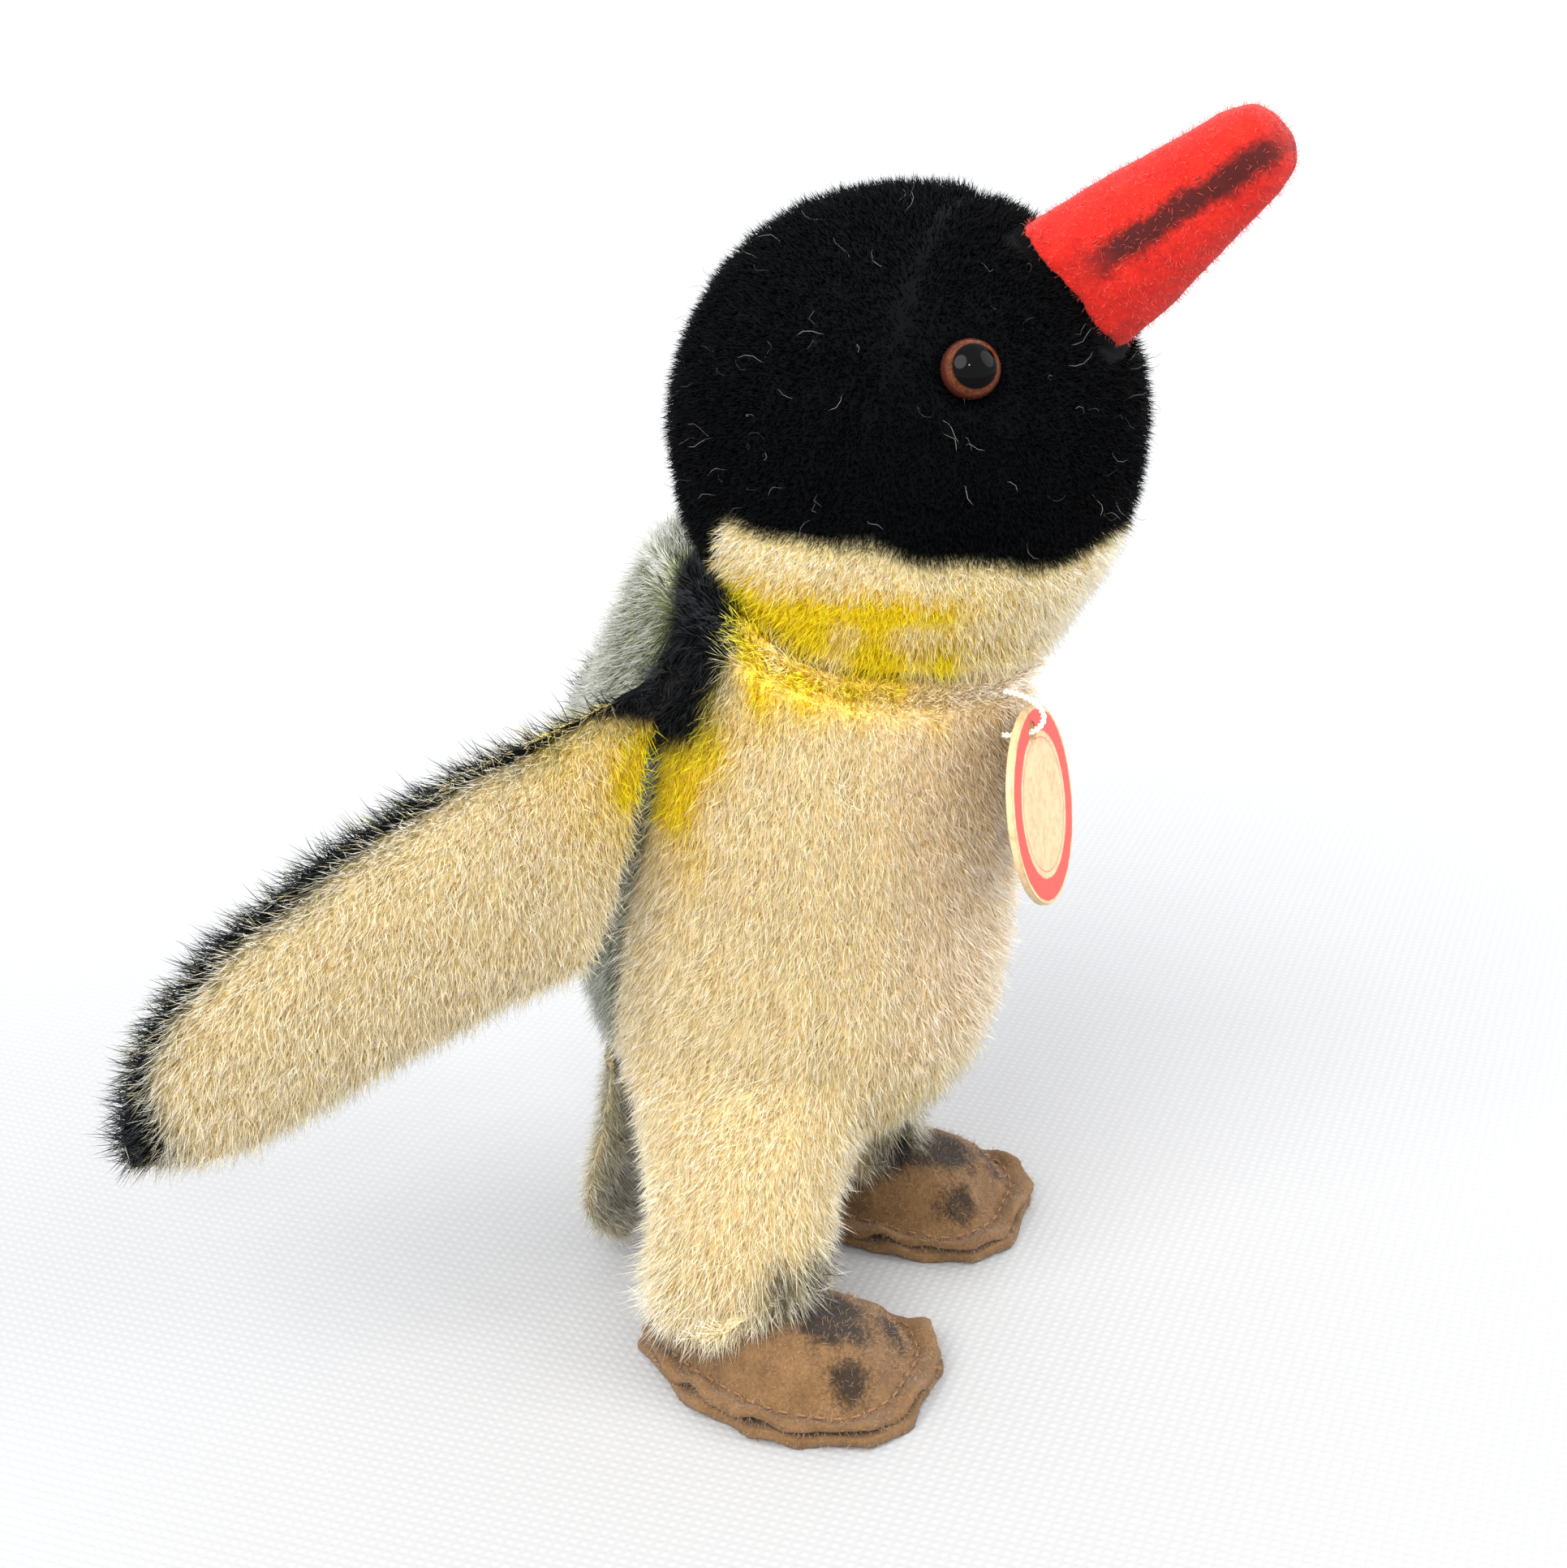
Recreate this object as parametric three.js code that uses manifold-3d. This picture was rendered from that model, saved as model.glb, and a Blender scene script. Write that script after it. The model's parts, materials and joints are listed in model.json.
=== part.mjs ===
// A jointed plush penguin: mohair covers over firm stuffing, a disc joint in the neck,
// soft wings sewn on at the sides, a felt beak and felt feet on card insoles.
// Millimetres. +Z is up, the penguin faces -Y, and its right side is on -X.
import * as THREE from 'three';
import { mergeVertices } from 'three/addons/utils/BufferGeometryUtils.js';
import Module from 'manifold-3d';

const wasm = await Module();
wasm.setup();

const vec = (x, y, z) => new THREE.Vector3(x, y, z);
const deg = THREE.MathUtils.degToRad;

// ---------------------------------------------------------------- driving dimensions

const gap = 0.3; // kept between pieces that touch
const bodyPile = 3.0; // mohair cloth with its pile, on the body, wings and tail
const headPile = 2.2; // shorter pile of the head cover
const cloth = 0.9; // bare backing cloth, where the covers are gathered over the neck discs

const seatHeight = 21.5; // floor to the seat between the legs
const torsoHeight = 71; // seat to the top of the shoulders, before the neck cuts them
const torsoHalfWidth = 21;
const torsoFront = 27; // depth in front of the body's middle
const torsoBack = 27; // depth behind it

const neckHeight = 83.7; // floor to the middle of the neck joint
const neckForward = 9.8; // neck joint in front of the body's middle
const neckTilt = 5.5; // degrees that the neck leans forward
const neckRadius = 17.8;

const headRadius = 25.4;
const headHeight = 47; // neck joint to crown

const discThickness = 2;
const discMargin = 4.5; // neck cloth gathered around each joint disc
const pinRadius = 1;
const pinClearance = 0.4; // pin to the discs, washers and covers that it passes through
const washerRadius = 4;
const washerThickness = 0.8;
const washerRoom = 1.2; // hollow in the stuffing, past the washer's edge

const beakLength = 25; // backing cloth of the head to the tip
const beakHeight = 17; // at the head
const beakTipHeight = 10;
const beakWidth = 11;
const beakPitch = 40; // degrees above level
const felt = 1.4;

const eyeRadius = 2.9;
const eyeRim = 0.8; // straight edge of the glass, behind its dome
const eyeAngle = 60; // degrees round from the front
const eyeLift = 26.5; // degrees above the neck's own level
const shankRadius = 0.4;
const shankLength = 7;

const wingLength = 67;
const wingRoot = 27; // length of the seam that it hangs on, evenly about its middle
const wingShoulder = 4.5; // what the seam runs on above that, towards the nape
const wingThickness = 9.5;
const wingSpread = 37; // degrees out from straight back
const wingDroop = 29; // degrees below level
const wingRootHeight = 68; // floor to the middle of the root seam
const wingRootBack = 9.5; // root seam behind the body's middle
const rootLean = 14; // degrees that the seam leans forward
const rootStandOff = 1.7; // hinge line of the sewn root, off the body cover
const rootRadius = 1.2; // flattened cloth at the root

const legSpacing = 39; // ankle to ankle
const legHalfWidth = 8.8; // at the ankle, with its pile
const legFront = 10.6;
const legBack = 11.2;
const legBehind = 0.6; // ankles behind the body's middle

const footLength = 36.5;
const footWidth = 27;
const footHeight = 9.6;
const footForward = 4; // middle of the foot in front of the body's middle
const footRim = 3.4; // felt edge outside the stitching
const insoleThickness = 1;

const tailHalfWidth = 10.5;
const tailThickness = 6;
const tailRootHeight = 32.5;
const tailGround = 1.2; // tail tip above the floor

const tagRadius = 10.5;
const tagThickness = 0.8;
const tagHoleRadius = 1.2;
const tagHoleInset = 2.6; // hole to the card's edge
const tagSide = 8.5; // to the right of the chest's middle
const tagHeight = 78.1; // floor to its thread
const tagLean = 11; // degrees that the card leans out at its foot
const threadRadius = 0.35;
const threadLoop = 2.4; // half height of the loop that it makes

// ---------------------------------------------------------------- shape helpers

// A closed solid through a stack of rings, each with the same number of points.
function loft(rings) {
  const count = rings[0].length;
  const points = rings.flat();
  const middle = (ring) => ring.reduce((sum, p) => sum.add(p), vec(0, 0, 0)).divideScalar(count);
  points.push(middle(rings[0]), middle(rings.at(-1)));
  const index = [];
  for (let i = 0; i < count; i += 1) {
    const next = (i + 1) % count;
    for (let ring = 0; ring < rings.length - 1; ring += 1) {
      const low = ring * count;
      const high = low + count;
      index.push(low + i, low + next, high + next, low + i, high + next, high + i);
    }
    const top = (rings.length - 1) * count;
    index.push(points.length - 2, next, i, points.length - 1, top + i, top + next);
  }
  const geometry = new THREE.BufferGeometry().setFromPoints(points);
  geometry.setIndex(index);
  return facingOut(geometry);
}

// The same surface with every face turned over, if it encloses its inside the wrong way round.
function facingOut(geometry) {
  const position = geometry.attributes.position;
  const index = geometry.index.array;
  const corner = [0, 1, 2].map(() => new THREE.Vector3());
  let volume = 0;
  for (let i = 0; i < index.length; i += 3) {
    corner.forEach((c, k) => c.fromBufferAttribute(position, index[i + k]));
    volume += corner[0].dot(corner[1].clone().cross(corner[2]));
  }
  if (volume < 0) index.reverse();
  return geometry;
}

// A ring of points round a middle: half sizes along one direction and both ways along another.
function oval(middle, across, along, halfAcross, ahead, behind, count) {
  return Array.from({ length: count }, (_, i) => {
    const turn = (2 * Math.PI * i) / count;
    const reach = Math.sin(turn) * (Math.sin(turn) > 0 ? ahead : behind);
    return middle
      .clone()
      .addScaledVector(across, halfAcross * Math.cos(turn))
      .addScaledVector(along, reach);
  });
}

const X = vec(1, 0, 0);
const Y = vec(0, 1, 0);
const Z = vec(0, 0, 1);

function solid(geometry) {
  const bare = geometry.clone();
  bare.deleteAttribute('normal');
  bare.deleteAttribute('uv');
  const welded = mergeVertices(bare, 1e-4);
  return new wasm.Manifold(
    new wasm.Mesh({
      numProp: 3,
      vertProperties: new Float32Array(welded.attributes.position.array),
      triVerts: new Uint32Array(welded.index.array),
    }),
  );
}

function geometryOf(manifold) {
  const mesh = manifold.getMesh();
  const geometry = new THREE.BufferGeometry();
  geometry.setAttribute('position', new THREE.BufferAttribute(mesh.vertProperties, 3));
  geometry.setIndex(new THREE.BufferAttribute(mesh.triVerts, 1));
  geometry.computeVertexNormals();
  return geometry;
}

const moved = (geometry, matrix) => geometry.clone().applyMatrix4(matrix);

// The same piece on the penguin's left side.
function mirrored(geometry) {
  const copy = mergeVertices(geometry.clone().applyMatrix4(new THREE.Matrix4().makeScale(-1, 1, 1)));
  copy.index.array.reverse();
  copy.computeVertexNormals();
  return copy;
}

const far = 200; // reach of the cutting blocks, past every piece

// Everything above a plane: the block stands on the plane, with its top far away.
function above(matrix, lift) {
  const block = new THREE.BoxGeometry(far, far, far).translate(0, 0, far / 2 + lift);
  return solid(moved(block, matrix));
}

function rightOf(edge) {
  return solid(new THREE.BoxGeometry(far, 2 * far, 2 * far).translate(-far / 2 - edge, 0, 0));
}

function rod(radius, low, high, sides = 16) {
  const cylinder = new THREE.CylinderGeometry(radius, radius, high - low, sides);
  return cylinder.rotateX(Math.PI / 2).translate(0, 0, (low + high) / 2);
}

// A turned disc with a round hole, standing on z = low.
function ringDisc(radius, hole, low, thickness) {
  const profile = [
    [hole, 0],
    [radius, 0],
    [radius, thickness],
    [hole, thickness],
    [hole, 0],
  ].map(([r, z]) => new THREE.Vector2(r, z));
  return new THREE.LatheGeometry(profile, 20).rotateX(Math.PI / 2).translate(0, 0, low);
}

const penguin = new THREE.Group();

function material(colour, roughness, metalness = 0) {
  return new THREE.MeshStandardMaterial({ color: colour, roughness, metalness });
}

function add(name, geometry, look, parent = penguin) {
  const mesh = new THREE.Mesh(geometry, look);
  mesh.name = name;
  parent.add(mesh);
  return mesh;
}

const looks = {
  cream: () => material('#ecd7ab', 0.95),
  grey: () => material('#7d876c', 0.95),
  black: () => material('#101216', 0.95),
  stuffing: () => material('#d9c69a', 1),
  tan: () => material('#a77c53', 0.95),
  red: () => material('#e2412a', 0.95),
  card: () => material('#b08d60', 0.9),
  fibre: () => material('#6b4a30', 0.9),
  steel: () => material('#a9adb2', 0.35, 1),
  glass: () => material('#5a2a16', 0.05),
  tag: () => material('#e8583f', 0.6),
  thread: () => material('#efe7d2', 0.9),
};

// ---------------------------------------------------------------- torso and legs

// Stations from the seat up: share of the height, of the half width, front and back depths.
const torsoStations = [
  { up: 0.0, width: 0.36, front: 0.24, back: 0.36 },
  { up: 0.045, width: 0.66, front: 0.52, back: 0.63 },
  { up: 0.12, width: 0.86, front: 0.74, back: 0.84 },
  { up: 0.22, width: 0.97, front: 0.86, back: 0.96 },
  { up: 0.34, width: 1.0, front: 0.92, back: 1.0 },
  { up: 0.48, width: 1.0, front: 0.96, back: 0.99 },
  { up: 0.64, width: 1.0, front: 0.985, back: 0.96 },
  { up: 0.78, width: 0.95, front: 1.0, back: 0.88 },
  { up: 0.9, width: 0.89, front: 1.0, back: 0.75 },
  { up: 1.0, width: 0.83, front: 1.0, back: 0.6 },
];
const torsoSizes = new THREE.CatmullRomCurve3(
  torsoStations.map((s) => vec(s.width * torsoHalfWidth, s.front * torsoFront, s.back * torsoBack)),
  false,
  'catmullrom',
);
const torsoLifts = new THREE.CatmullRomCurve3(
  torsoStations.map((s) => vec(0, 0, seatHeight + s.up * torsoHeight)),
  false,
  'catmullrom',
);

// Half width, front and back depth of the torso at a height.
function torsoAt(height) {
  let low = 0;
  let high = 1;
  while (high - low > 1e-4) {
    const mid = (low + high) / 2;
    if (torsoLifts.getPoint(mid).z < height) low = mid;
    else high = mid;
  }
  return torsoSizes.getPoint(low);
}

const torsoRings = 11;

function torsoSolid(inset) {
  const rings = [];
  for (let i = 0; i <= torsoRings; i += 1) {
    const size = torsoSizes.getPoint(i / torsoRings);
    const lift = torsoLifts.getPoint(i / torsoRings).z;
    const floor = seatHeight + inset;
    const middle = vec(0, 0, floor + ((lift - seatHeight) * (torsoHeight - inset)) / torsoHeight);
    rings.push(oval(middle, X, Y, size.x - inset, size.z - inset, size.y - inset, 20));
  }
  return solid(loft(rings));
}

// Legs run from the ankle on the foot up into the torso, closer together at the top.
const ankleHeight = footHeight - 4;
const thighHeight = seatHeight + 0.24 * torsoHeight;
const thighOffset = torsoHalfWidth - legHalfWidth - 1.6;
const thighFront = 0.62 * torsoFront;
const thighBack = 0.72 * torsoBack;

function legSolid(inset, side) {
  const mix = THREE.MathUtils.lerp;
  const stations = [0, 0.28, 0.52, 0.76, 1].map((up) => {
    const offset = side * mix(legSpacing / 2, thighOffset, up);
    const middle = vec(offset, legBehind, mix(ankleHeight, thighHeight, up));
    const across = legHalfWidth * (1 + 0.1 * Math.sin(Math.PI * up)) - inset;
    const widening = up * up;
    const depths = [mix(legBack, thighBack, widening) - inset, mix(legFront, thighFront, widening) - inset];
    return oval(middle, X, Y, across, ...depths, 14);
  });
  return solid(loft(stations));
}

const neckFrame = new THREE.Matrix4()
  .makeTranslation(0, -neckForward, neckHeight)
  .multiply(new THREE.Matrix4().makeRotationX(deg(neckTilt)));

// ---------------------------------------------------------------- head shape

// Height of the ball's middle over the neck joint, and the funnel that narrows to the neck.
const ballHeight = headHeight - headRadius + 1.4;
const capHeight = headHeight - ballHeight;

// The head turned round the neck's axis, inset from its pile, standing on a flat floor.
function headSolid(inset, floor) {
  const bottom = Math.min(floor, gap / 2);
  const funnel = new THREE.SplineCurve([
    new THREE.Vector2(neckRadius - inset, bottom),
    new THREE.Vector2(neckRadius + 1 - inset, 0.1 * ballHeight),
    new THREE.Vector2(0.885 * headRadius - inset, 0.36 * ballHeight),
    new THREE.Vector2(0.978 * headRadius - inset, 0.7 * ballHeight),
    new THREE.Vector2(headRadius - inset, ballHeight),
  ]).getPoints(5);
  const radii = [headRadius - inset, capHeight - inset];
  const crown = new THREE.EllipseCurve(0, ballHeight, ...radii, 0, Math.PI / 2).getPoints(6);
  const profile = [new THREE.Vector2(0, bottom), ...funnel, ...crown.slice(1)];
  profile.at(-1).x = 0;
  const ball = solid(new THREE.LatheGeometry(profile, 22).rotateX(Math.PI / 2));
  return floor > bottom ? ball.intersect(above(new THREE.Matrix4(), floor)) : ball;
}

// ---------------------------------------------------------------- feet

// Sole outline of the right foot, toe to the front, outer side on -X: shares of its size.
const soleCorners = [
  [0.38, -0.5],
  [-0.37, -0.5],
  [-0.53, -0.14],
  [-0.38, 0.2],
  [0.03, 0.5],
  [0.4, 0.2],
  [0.47, -0.14],
];
const cornerRounding = 0.22; // share of each side that its corners take

function soleOutline(shrink = 0) {
  const grow = [footWidth - 2 * shrink, footLength - 2.4 * shrink];
  const corners = soleCorners.map(([x, y]) => new THREE.Vector2(x * grow[0], y * grow[1]));
  const shape = new THREE.Shape();
  corners.forEach((corner, i) => {
    const before = corners.at(i - 1).clone().lerp(corner, 1 - cornerRounding);
    const after = corner.clone().lerp(corners[(i + 1) % corners.length], cornerRounding);
    if (i === 0) shape.moveTo(before.x, before.y);
    else shape.lineTo(before.x, before.y);
    shape.quadraticCurveTo(corner.x, corner.y, after.x, after.y);
  });
  shape.closePath();
  return shape;
}

function slab(shape, low, thickness) {
  const settings = { depth: thickness, bevelEnabled: false, curveSegments: 1 };
  return new THREE.ExtrudeGeometry(shape, settings).translate(0, 0, low);
}

const soleTop = felt + gap;
const upperFloor = soleTop; // the upper's rim lies on the sole
const domeSteps = [
  { up: 0, inset: 0 },
  { up: 0.35, inset: 0.3 },
  { up: 0.65, inset: 1.6 },
  { up: 0.87, inset: 4 },
  { up: 1, inset: 7.5 },
];

// The puffed middle of a foot, inside its flat rim.
function domeSolid(inset) {
  const height = footHeight - upperFloor - inset;
  const rings = domeSteps.map((step) => {
    const shape = soleOutline(footRim + inset + step.inset);
    const z = upperFloor + (inset > 0 ? 0 : -0.001) + height * step.up;
    return shape.getPoints(1).slice(0, -1).map((p) => vec(p.x, p.y, z));
  });
  if (inset > 0) rings.unshift(rings[0].map((p) => vec(p.x, p.y, upperFloor - 2)));
  return solid(loft(rings));
}

const footPlace = (side) =>
  new THREE.Matrix4().makeTranslation((side * legSpacing) / 2, -footForward, 0);

function footPieces() {
  const rim = solid(slab(soleOutline(), upperFloor, felt));
  const outer = domeSolid(0);
  const hollow = domeSolid(felt);
  const insole = soleOutline(footRim + felt + gap);
  const insoleTop = upperFloor + insoleThickness;
  const cushion = domeSolid(felt + gap).intersect(above(new THREE.Matrix4(), insoleTop + gap));
  return {
    foot_sole: [slab(soleOutline(), 0, felt), looks.tan],
    foot_upper: [geometryOf(rim.add(outer).subtract(hollow)), looks.tan],
    foot_insole: [slab(insole, upperFloor, insoleThickness), looks.card],
    foot_stuffing: [geometryOf(cushion), looks.stuffing],
  };
}

for (const [name, [geometry, look]] of Object.entries(footPieces())) {
  add(`${name}_right`, moved(geometry, footPlace(-1)), look());
  add(`${name}_left`, mirrored(moved(geometry, footPlace(-1))), look());
}

// The foot's upper with a gap all round, which the leg's lower edge is cut by.
const footRoom = (() => {
  const dome = geometryOf(domeSolid(-gap));
  const right = moved(dome, footPlace(-1));
  return solid(right).add(solid(mirrored(right)));
})();

// ---------------------------------------------------------------- body covers and stuffing

// The room that the round head turns in, which the shoulders are hollowed by.
const headTurning = solid(moved(geometryOf(headSolid(-gap, -gap / 2)), neckFrame));
const bodyOuter = torsoSolid(0)
  .add(legSolid(0, -1))
  .add(legSolid(0, 1))
  .subtract(footRoom)
  .subtract(headTurning);
const neckTop = -gap / 2 - cloth; // underside of the cloth gathered over the body's disc
const pinHole = solid(moved(rod(pinRadius + pinClearance, -12, 12), neckFrame));

// The cover's hollow reaches down through the ankles, so that each leg is an open tube.
const ankleRoom = [-1, 1].map((side) => {
  const sock = rod(legHalfWidth - bodyPile, 0, ankleHeight + 3, 20);
  return solid(sock.translate((side * legSpacing) / 2, legBehind, 0));
});
// Joint discs lie flat against the gathered cloth on each side of the neck joint.
const discRadius = neckRadius - discMargin;
const bodyDiscLow = neckTop - gap - discThickness;
const discRoom = solid(moved(rod(discRadius + gap, bodyDiscLow - gap, neckTop, 24), neckFrame));

// The shoulders' cloth keeps its thickness where they are hollowed.
const hollowedShoulders = solid(moved(geometryOf(headSolid(-bodyPile, -gap)), neckFrame));
const bodyHollow = torsoSolid(bodyPile)
  .add(legSolid(bodyPile, -1))
  .add(legSolid(bodyPile, 1))
  .subtract(above(neckFrame, neckTop))
  .subtract(hollowedShoulders)
  .add(ankleRoom[0])
  .add(ankleRoom[1])
  .add(discRoom);
const bodyShell = bodyOuter.subtract(bodyHollow).subtract(pinHole);

// The back panel lies behind a plane that leans with the wing roots, above the tail.
const seamSlope = Math.tan(deg(rootLean));
const backSeam = (height) => wingRootBack - (height - wingRootHeight) * seamSlope;
const backPanelFoot = tailRootHeight - 9;

function backBlock(grow) {
  const side = new THREE.Shape();
  const low = backPanelFoot - grow;
  side.moveTo(backSeam(low) - grow, low);
  side.lineTo(far, low);
  side.lineTo(far, far);
  side.lineTo(backSeam(far) - grow, far);
  side.closePath();
  return solid(sideways(side, far));
}

// A side view (y, z) cut through from right to left.
function sideways(shape, width) {
  const geometry = new THREE.ExtrudeGeometry(shape, { depth: width, bevelEnabled: false });
  const stand = new THREE.Matrix4().makeBasis(Y, Z, X);
  return geometry.translate(0, 0, -width / 2).applyMatrix4(stand);
}

// The belly gusset: a point under the chest, widening down the insides of the legs.
const gussetTop = seatHeight + 0.54 * torsoHeight;

function bellyBlock(grow) {
  const hip = seatHeight + 0.16 * torsoHeight;
  const front = new THREE.Shape();
  front.moveTo(-legSpacing / 2 - grow, -1);
  front.lineTo(legSpacing / 2 + grow, -1);
  front.lineTo(legSpacing / 2 + grow, ankleHeight + 4);
  front.lineTo(0.62 * torsoHalfWidth + grow, hip);
  front.lineTo(0.36 * torsoHalfWidth + grow, (hip + gussetTop) / 2);
  front.lineTo(grow, gussetTop + grow);
  front.lineTo(-grow, gussetTop + grow);
  front.lineTo(-0.36 * torsoHalfWidth - grow, (hip + gussetTop) / 2);
  front.lineTo(-0.62 * torsoHalfWidth - grow, hip);
  front.lineTo(-legSpacing / 2 - grow, ankleHeight + 4);
  front.closePath();
  const geometry = new THREE.ExtrudeGeometry(front, { depth: 2 * far, bevelEnabled: false });
  const stand = new THREE.Matrix4().makeBasis(X, Z, Y.clone().negate());
  return solid(geometry.translate(0, 0, -far).applyMatrix4(stand));
}

const sides = bodyShell.subtract(backBlock(gap)).subtract(bellyBlock(gap));
const sidePanel = geometryOf(sides.intersect(rightOf(gap / 2)));
add('side_panel_right', sidePanel, looks.cream());
add('side_panel_left', mirrored(sidePanel), looks.cream());
add('back_panel', geometryOf(bodyShell.intersect(backBlock(0))), looks.grey());
const belly = bodyShell.subtract(backBlock(gap)).intersect(bellyBlock(0));
add('belly_panel', geometryOf(belly), looks.cream());

const bodyWasherLow = bodyDiscLow - gap - washerThickness;
const hardwareRoom = 9; // hollow in the stuffing for the pin's ends
const hollowRod = (low, high) => solid(moved(rod(washerRadius + washerRoom, low, high), neckFrame));
const bodyStuffing = torsoSolid(bodyPile + gap)
  .add(legSolid(bodyPile + gap, -1))
  .add(legSolid(bodyPile + gap, 1))
  .subtract(footRoom)
  .subtract(above(neckFrame, bodyDiscLow - gap))
  .subtract(hollowRod(bodyDiscLow - hardwareRoom, 0));
add('body_stuffing', geometryOf(bodyStuffing), looks.stuffing());

// ---------------------------------------------------------------- neck joint

const neckGroup = new THREE.Group();
neckGroup.applyMatrix4(neckFrame);
penguin.add(neckGroup);

const discHole = pinRadius + pinClearance;
const headClothTop = gap / 2 + cloth;
const headDiscLow = headClothTop + gap;
const headWasherLow = headDiscLow + discThickness + gap;
const bodyDisc = ringDisc(discRadius, discHole, bodyDiscLow, discThickness);
const bodyWasher = ringDisc(washerRadius, discHole, bodyWasherLow, washerThickness);
const headDisc = ringDisc(discRadius, discHole, headDiscLow, discThickness);
const headWasher = ringDisc(washerRadius, discHole, headWasherLow, washerThickness);
add('body_joint_disc', bodyDisc, looks.fibre(), neckGroup);
add('body_joint_washer', bodyWasher, looks.steel(), neckGroup);
add('head_joint_disc', headDisc, looks.fibre(), neckGroup);
add('head_joint_washer', headWasher, looks.steel(), neckGroup);

// The cotter pin: an eye over the head's washer, and two legs curled under the body's.
function cotterPin() {
  const eyeLow = headWasherLow + washerThickness + gap;
  const curlHigh = bodyWasherLow - gap;
  const eyeRing = 2 * pinRadius;
  const eye = new THREE.TorusGeometry(eyeRing, pinRadius, 6, 12).rotateX(Math.PI / 2);
  const shaft = rod(pinRadius, curlHigh - 1.2 * pinRadius, eyeLow + 1.4 * pinRadius, 12);
  const curl = (side) =>
    new THREE.CatmullRomCurve3([
      vec(0, 0, curlHigh - pinRadius),
      vec(side * 1.8, 0, curlHigh - pinRadius - 0.2),
      vec(side * 3.4, 0, curlHigh - pinRadius - 1.4),
      vec(side * 2.6, 0, curlHigh - pinRadius - 3),
    ]);
  const wire = new THREE.Shape().absarc(0, 0, 0.8 * pinRadius, 0, 2 * Math.PI);
  const leg = (side) => {
    const settings = { steps: 5, extrudePath: curl(side), bevelEnabled: false, curveSegments: 3 };
    return solid(new THREE.ExtrudeGeometry(wire, settings));
  };
  const pin = solid(shaft).add(solid(eye.translate(0, 0, eyeLow + eyeRing + pinRadius)));
  return geometryOf(pin.add(leg(-1)).add(leg(1)));
}
add('neck_cotter_pin', cotterPin(), looks.steel(), neckGroup);

// ---------------------------------------------------------------- head

const headOuter = headSolid(0, gap / 2);
const localPinHole = solid(rod(discHole, -12, 12));
const headShell = headOuter.subtract(headSolid(headPile, headClothTop)).subtract(localPinHole);

// Beak: two felt halves joined along its top and bottom edges, straight out of the head's ball.
const beakFrame = new THREE.Matrix4()
  .makeTranslation(0, 0, ballHeight)
  .multiply(new THREE.Matrix4().makeRotationX(deg(90 - beakPitch - neckTilt)));
const beakStart = 0.6 * headRadius; // inside the head, where its base is cut to the round
const beakStations = [
  { along: 0, taper: 0, width: 1 },
  { along: 0.4, taper: 0.3, width: 1 },
  { along: 0.65, taper: 0.7, width: 0.94 },
  { along: 0.88, taper: 1, width: 0.8 },
  { along: 0.96, taper: 1, width: 0.62, round: 0.78 },
  { along: 1, taper: 1, width: 0.3, round: 0.36 },
];

function beakSolid(inset) {
  const tip = headRadius - headPile + beakLength - inset;
  const rings = beakStations.map(({ along, taper, width, round = 1 }) => {
    const height = THREE.MathUtils.lerp(beakHeight, beakTipHeight, taper) * round;
    const middle = vec(0, 0, THREE.MathUtils.lerp(beakStart, tip, along));
    const half = Math.max(height / 2 - inset, 0.5);
    return oval(middle, X, Y, Math.max((width * beakWidth) / 2 - inset, 0.5), half, half, 16);
  });
  return solid(moved(loft(rings), beakFrame));
}

// Eyes: glass buttons pressed against the pile, each on a wire shank.
const eyeFrame = new THREE.Matrix4()
  .makeTranslation(0, 0, ballHeight)
  .multiply(new THREE.Matrix4().makeRotationZ(deg(-90 - eyeAngle)))
  .multiply(new THREE.Matrix4().makeRotationY(deg(90 - eyeLift)));
const eyeSeat = headRadius - headPile + 0.6; // back of the glass, above the backing cloth
const eyeBulge = 0.72; // glass depth over its radius

function eyeGlass(grow) {
  const dome = new THREE.EllipseCurve(0, 0, eyeRadius + grow, eyeBulge * eyeRadius + grow, 0, Math.PI / 2);
  const back = -eyeRim - grow;
  const profile = [new THREE.Vector2(0, back), new THREE.Vector2(eyeRadius + grow, back)];
  profile.push(...dome.getPoints(4));
  profile.at(-1).x = 0;
  const glass = new THREE.LatheGeometry(profile, 16).rotateX(Math.PI / 2);
  return moved(glass.translate(0, 0, eyeSeat + eyeRim), eyeFrame);
}

function eyeShank(grow) {
  const wire = rod(shankRadius + grow, eyeSeat - gap - shankLength - grow, eyeSeat - gap + grow, 10);
  return moved(wire, eyeFrame);
}

const eyeRoom = solid(eyeGlass(gap)).add(solid(eyeShank(gap)));
const bothEyes = eyeRoom.add(solid(mirrored(geometryOf(eyeRoom))));

// The beak sits on the backing cloth, with no pile under it.
const beakSeat = headPile - cloth;
const beakRoom = beakSolid(-gap).subtract(headSolid(beakSeat, gap / 2));
const headHalf = headShell.subtract(bothEyes).subtract(beakRoom).intersect(rightOf(gap / 2));

const headGroup = new THREE.Group();
headGroup.applyMatrix4(neckFrame);
penguin.add(headGroup);
add('head_panel_right', geometryOf(headHalf), looks.black(), headGroup);
add('head_panel_left', mirrored(geometryOf(headHalf)), looks.black(), headGroup);

const headStuffing = headSolid(headPile + gap, headDiscLow + discThickness + gap)
  .subtract(solid(rod(washerRadius + washerRoom, 0, headWasherLow + hardwareRoom)))
  .subtract(bothEyes);
add('head_stuffing', geometryOf(headStuffing), looks.stuffing(), headGroup);

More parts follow.
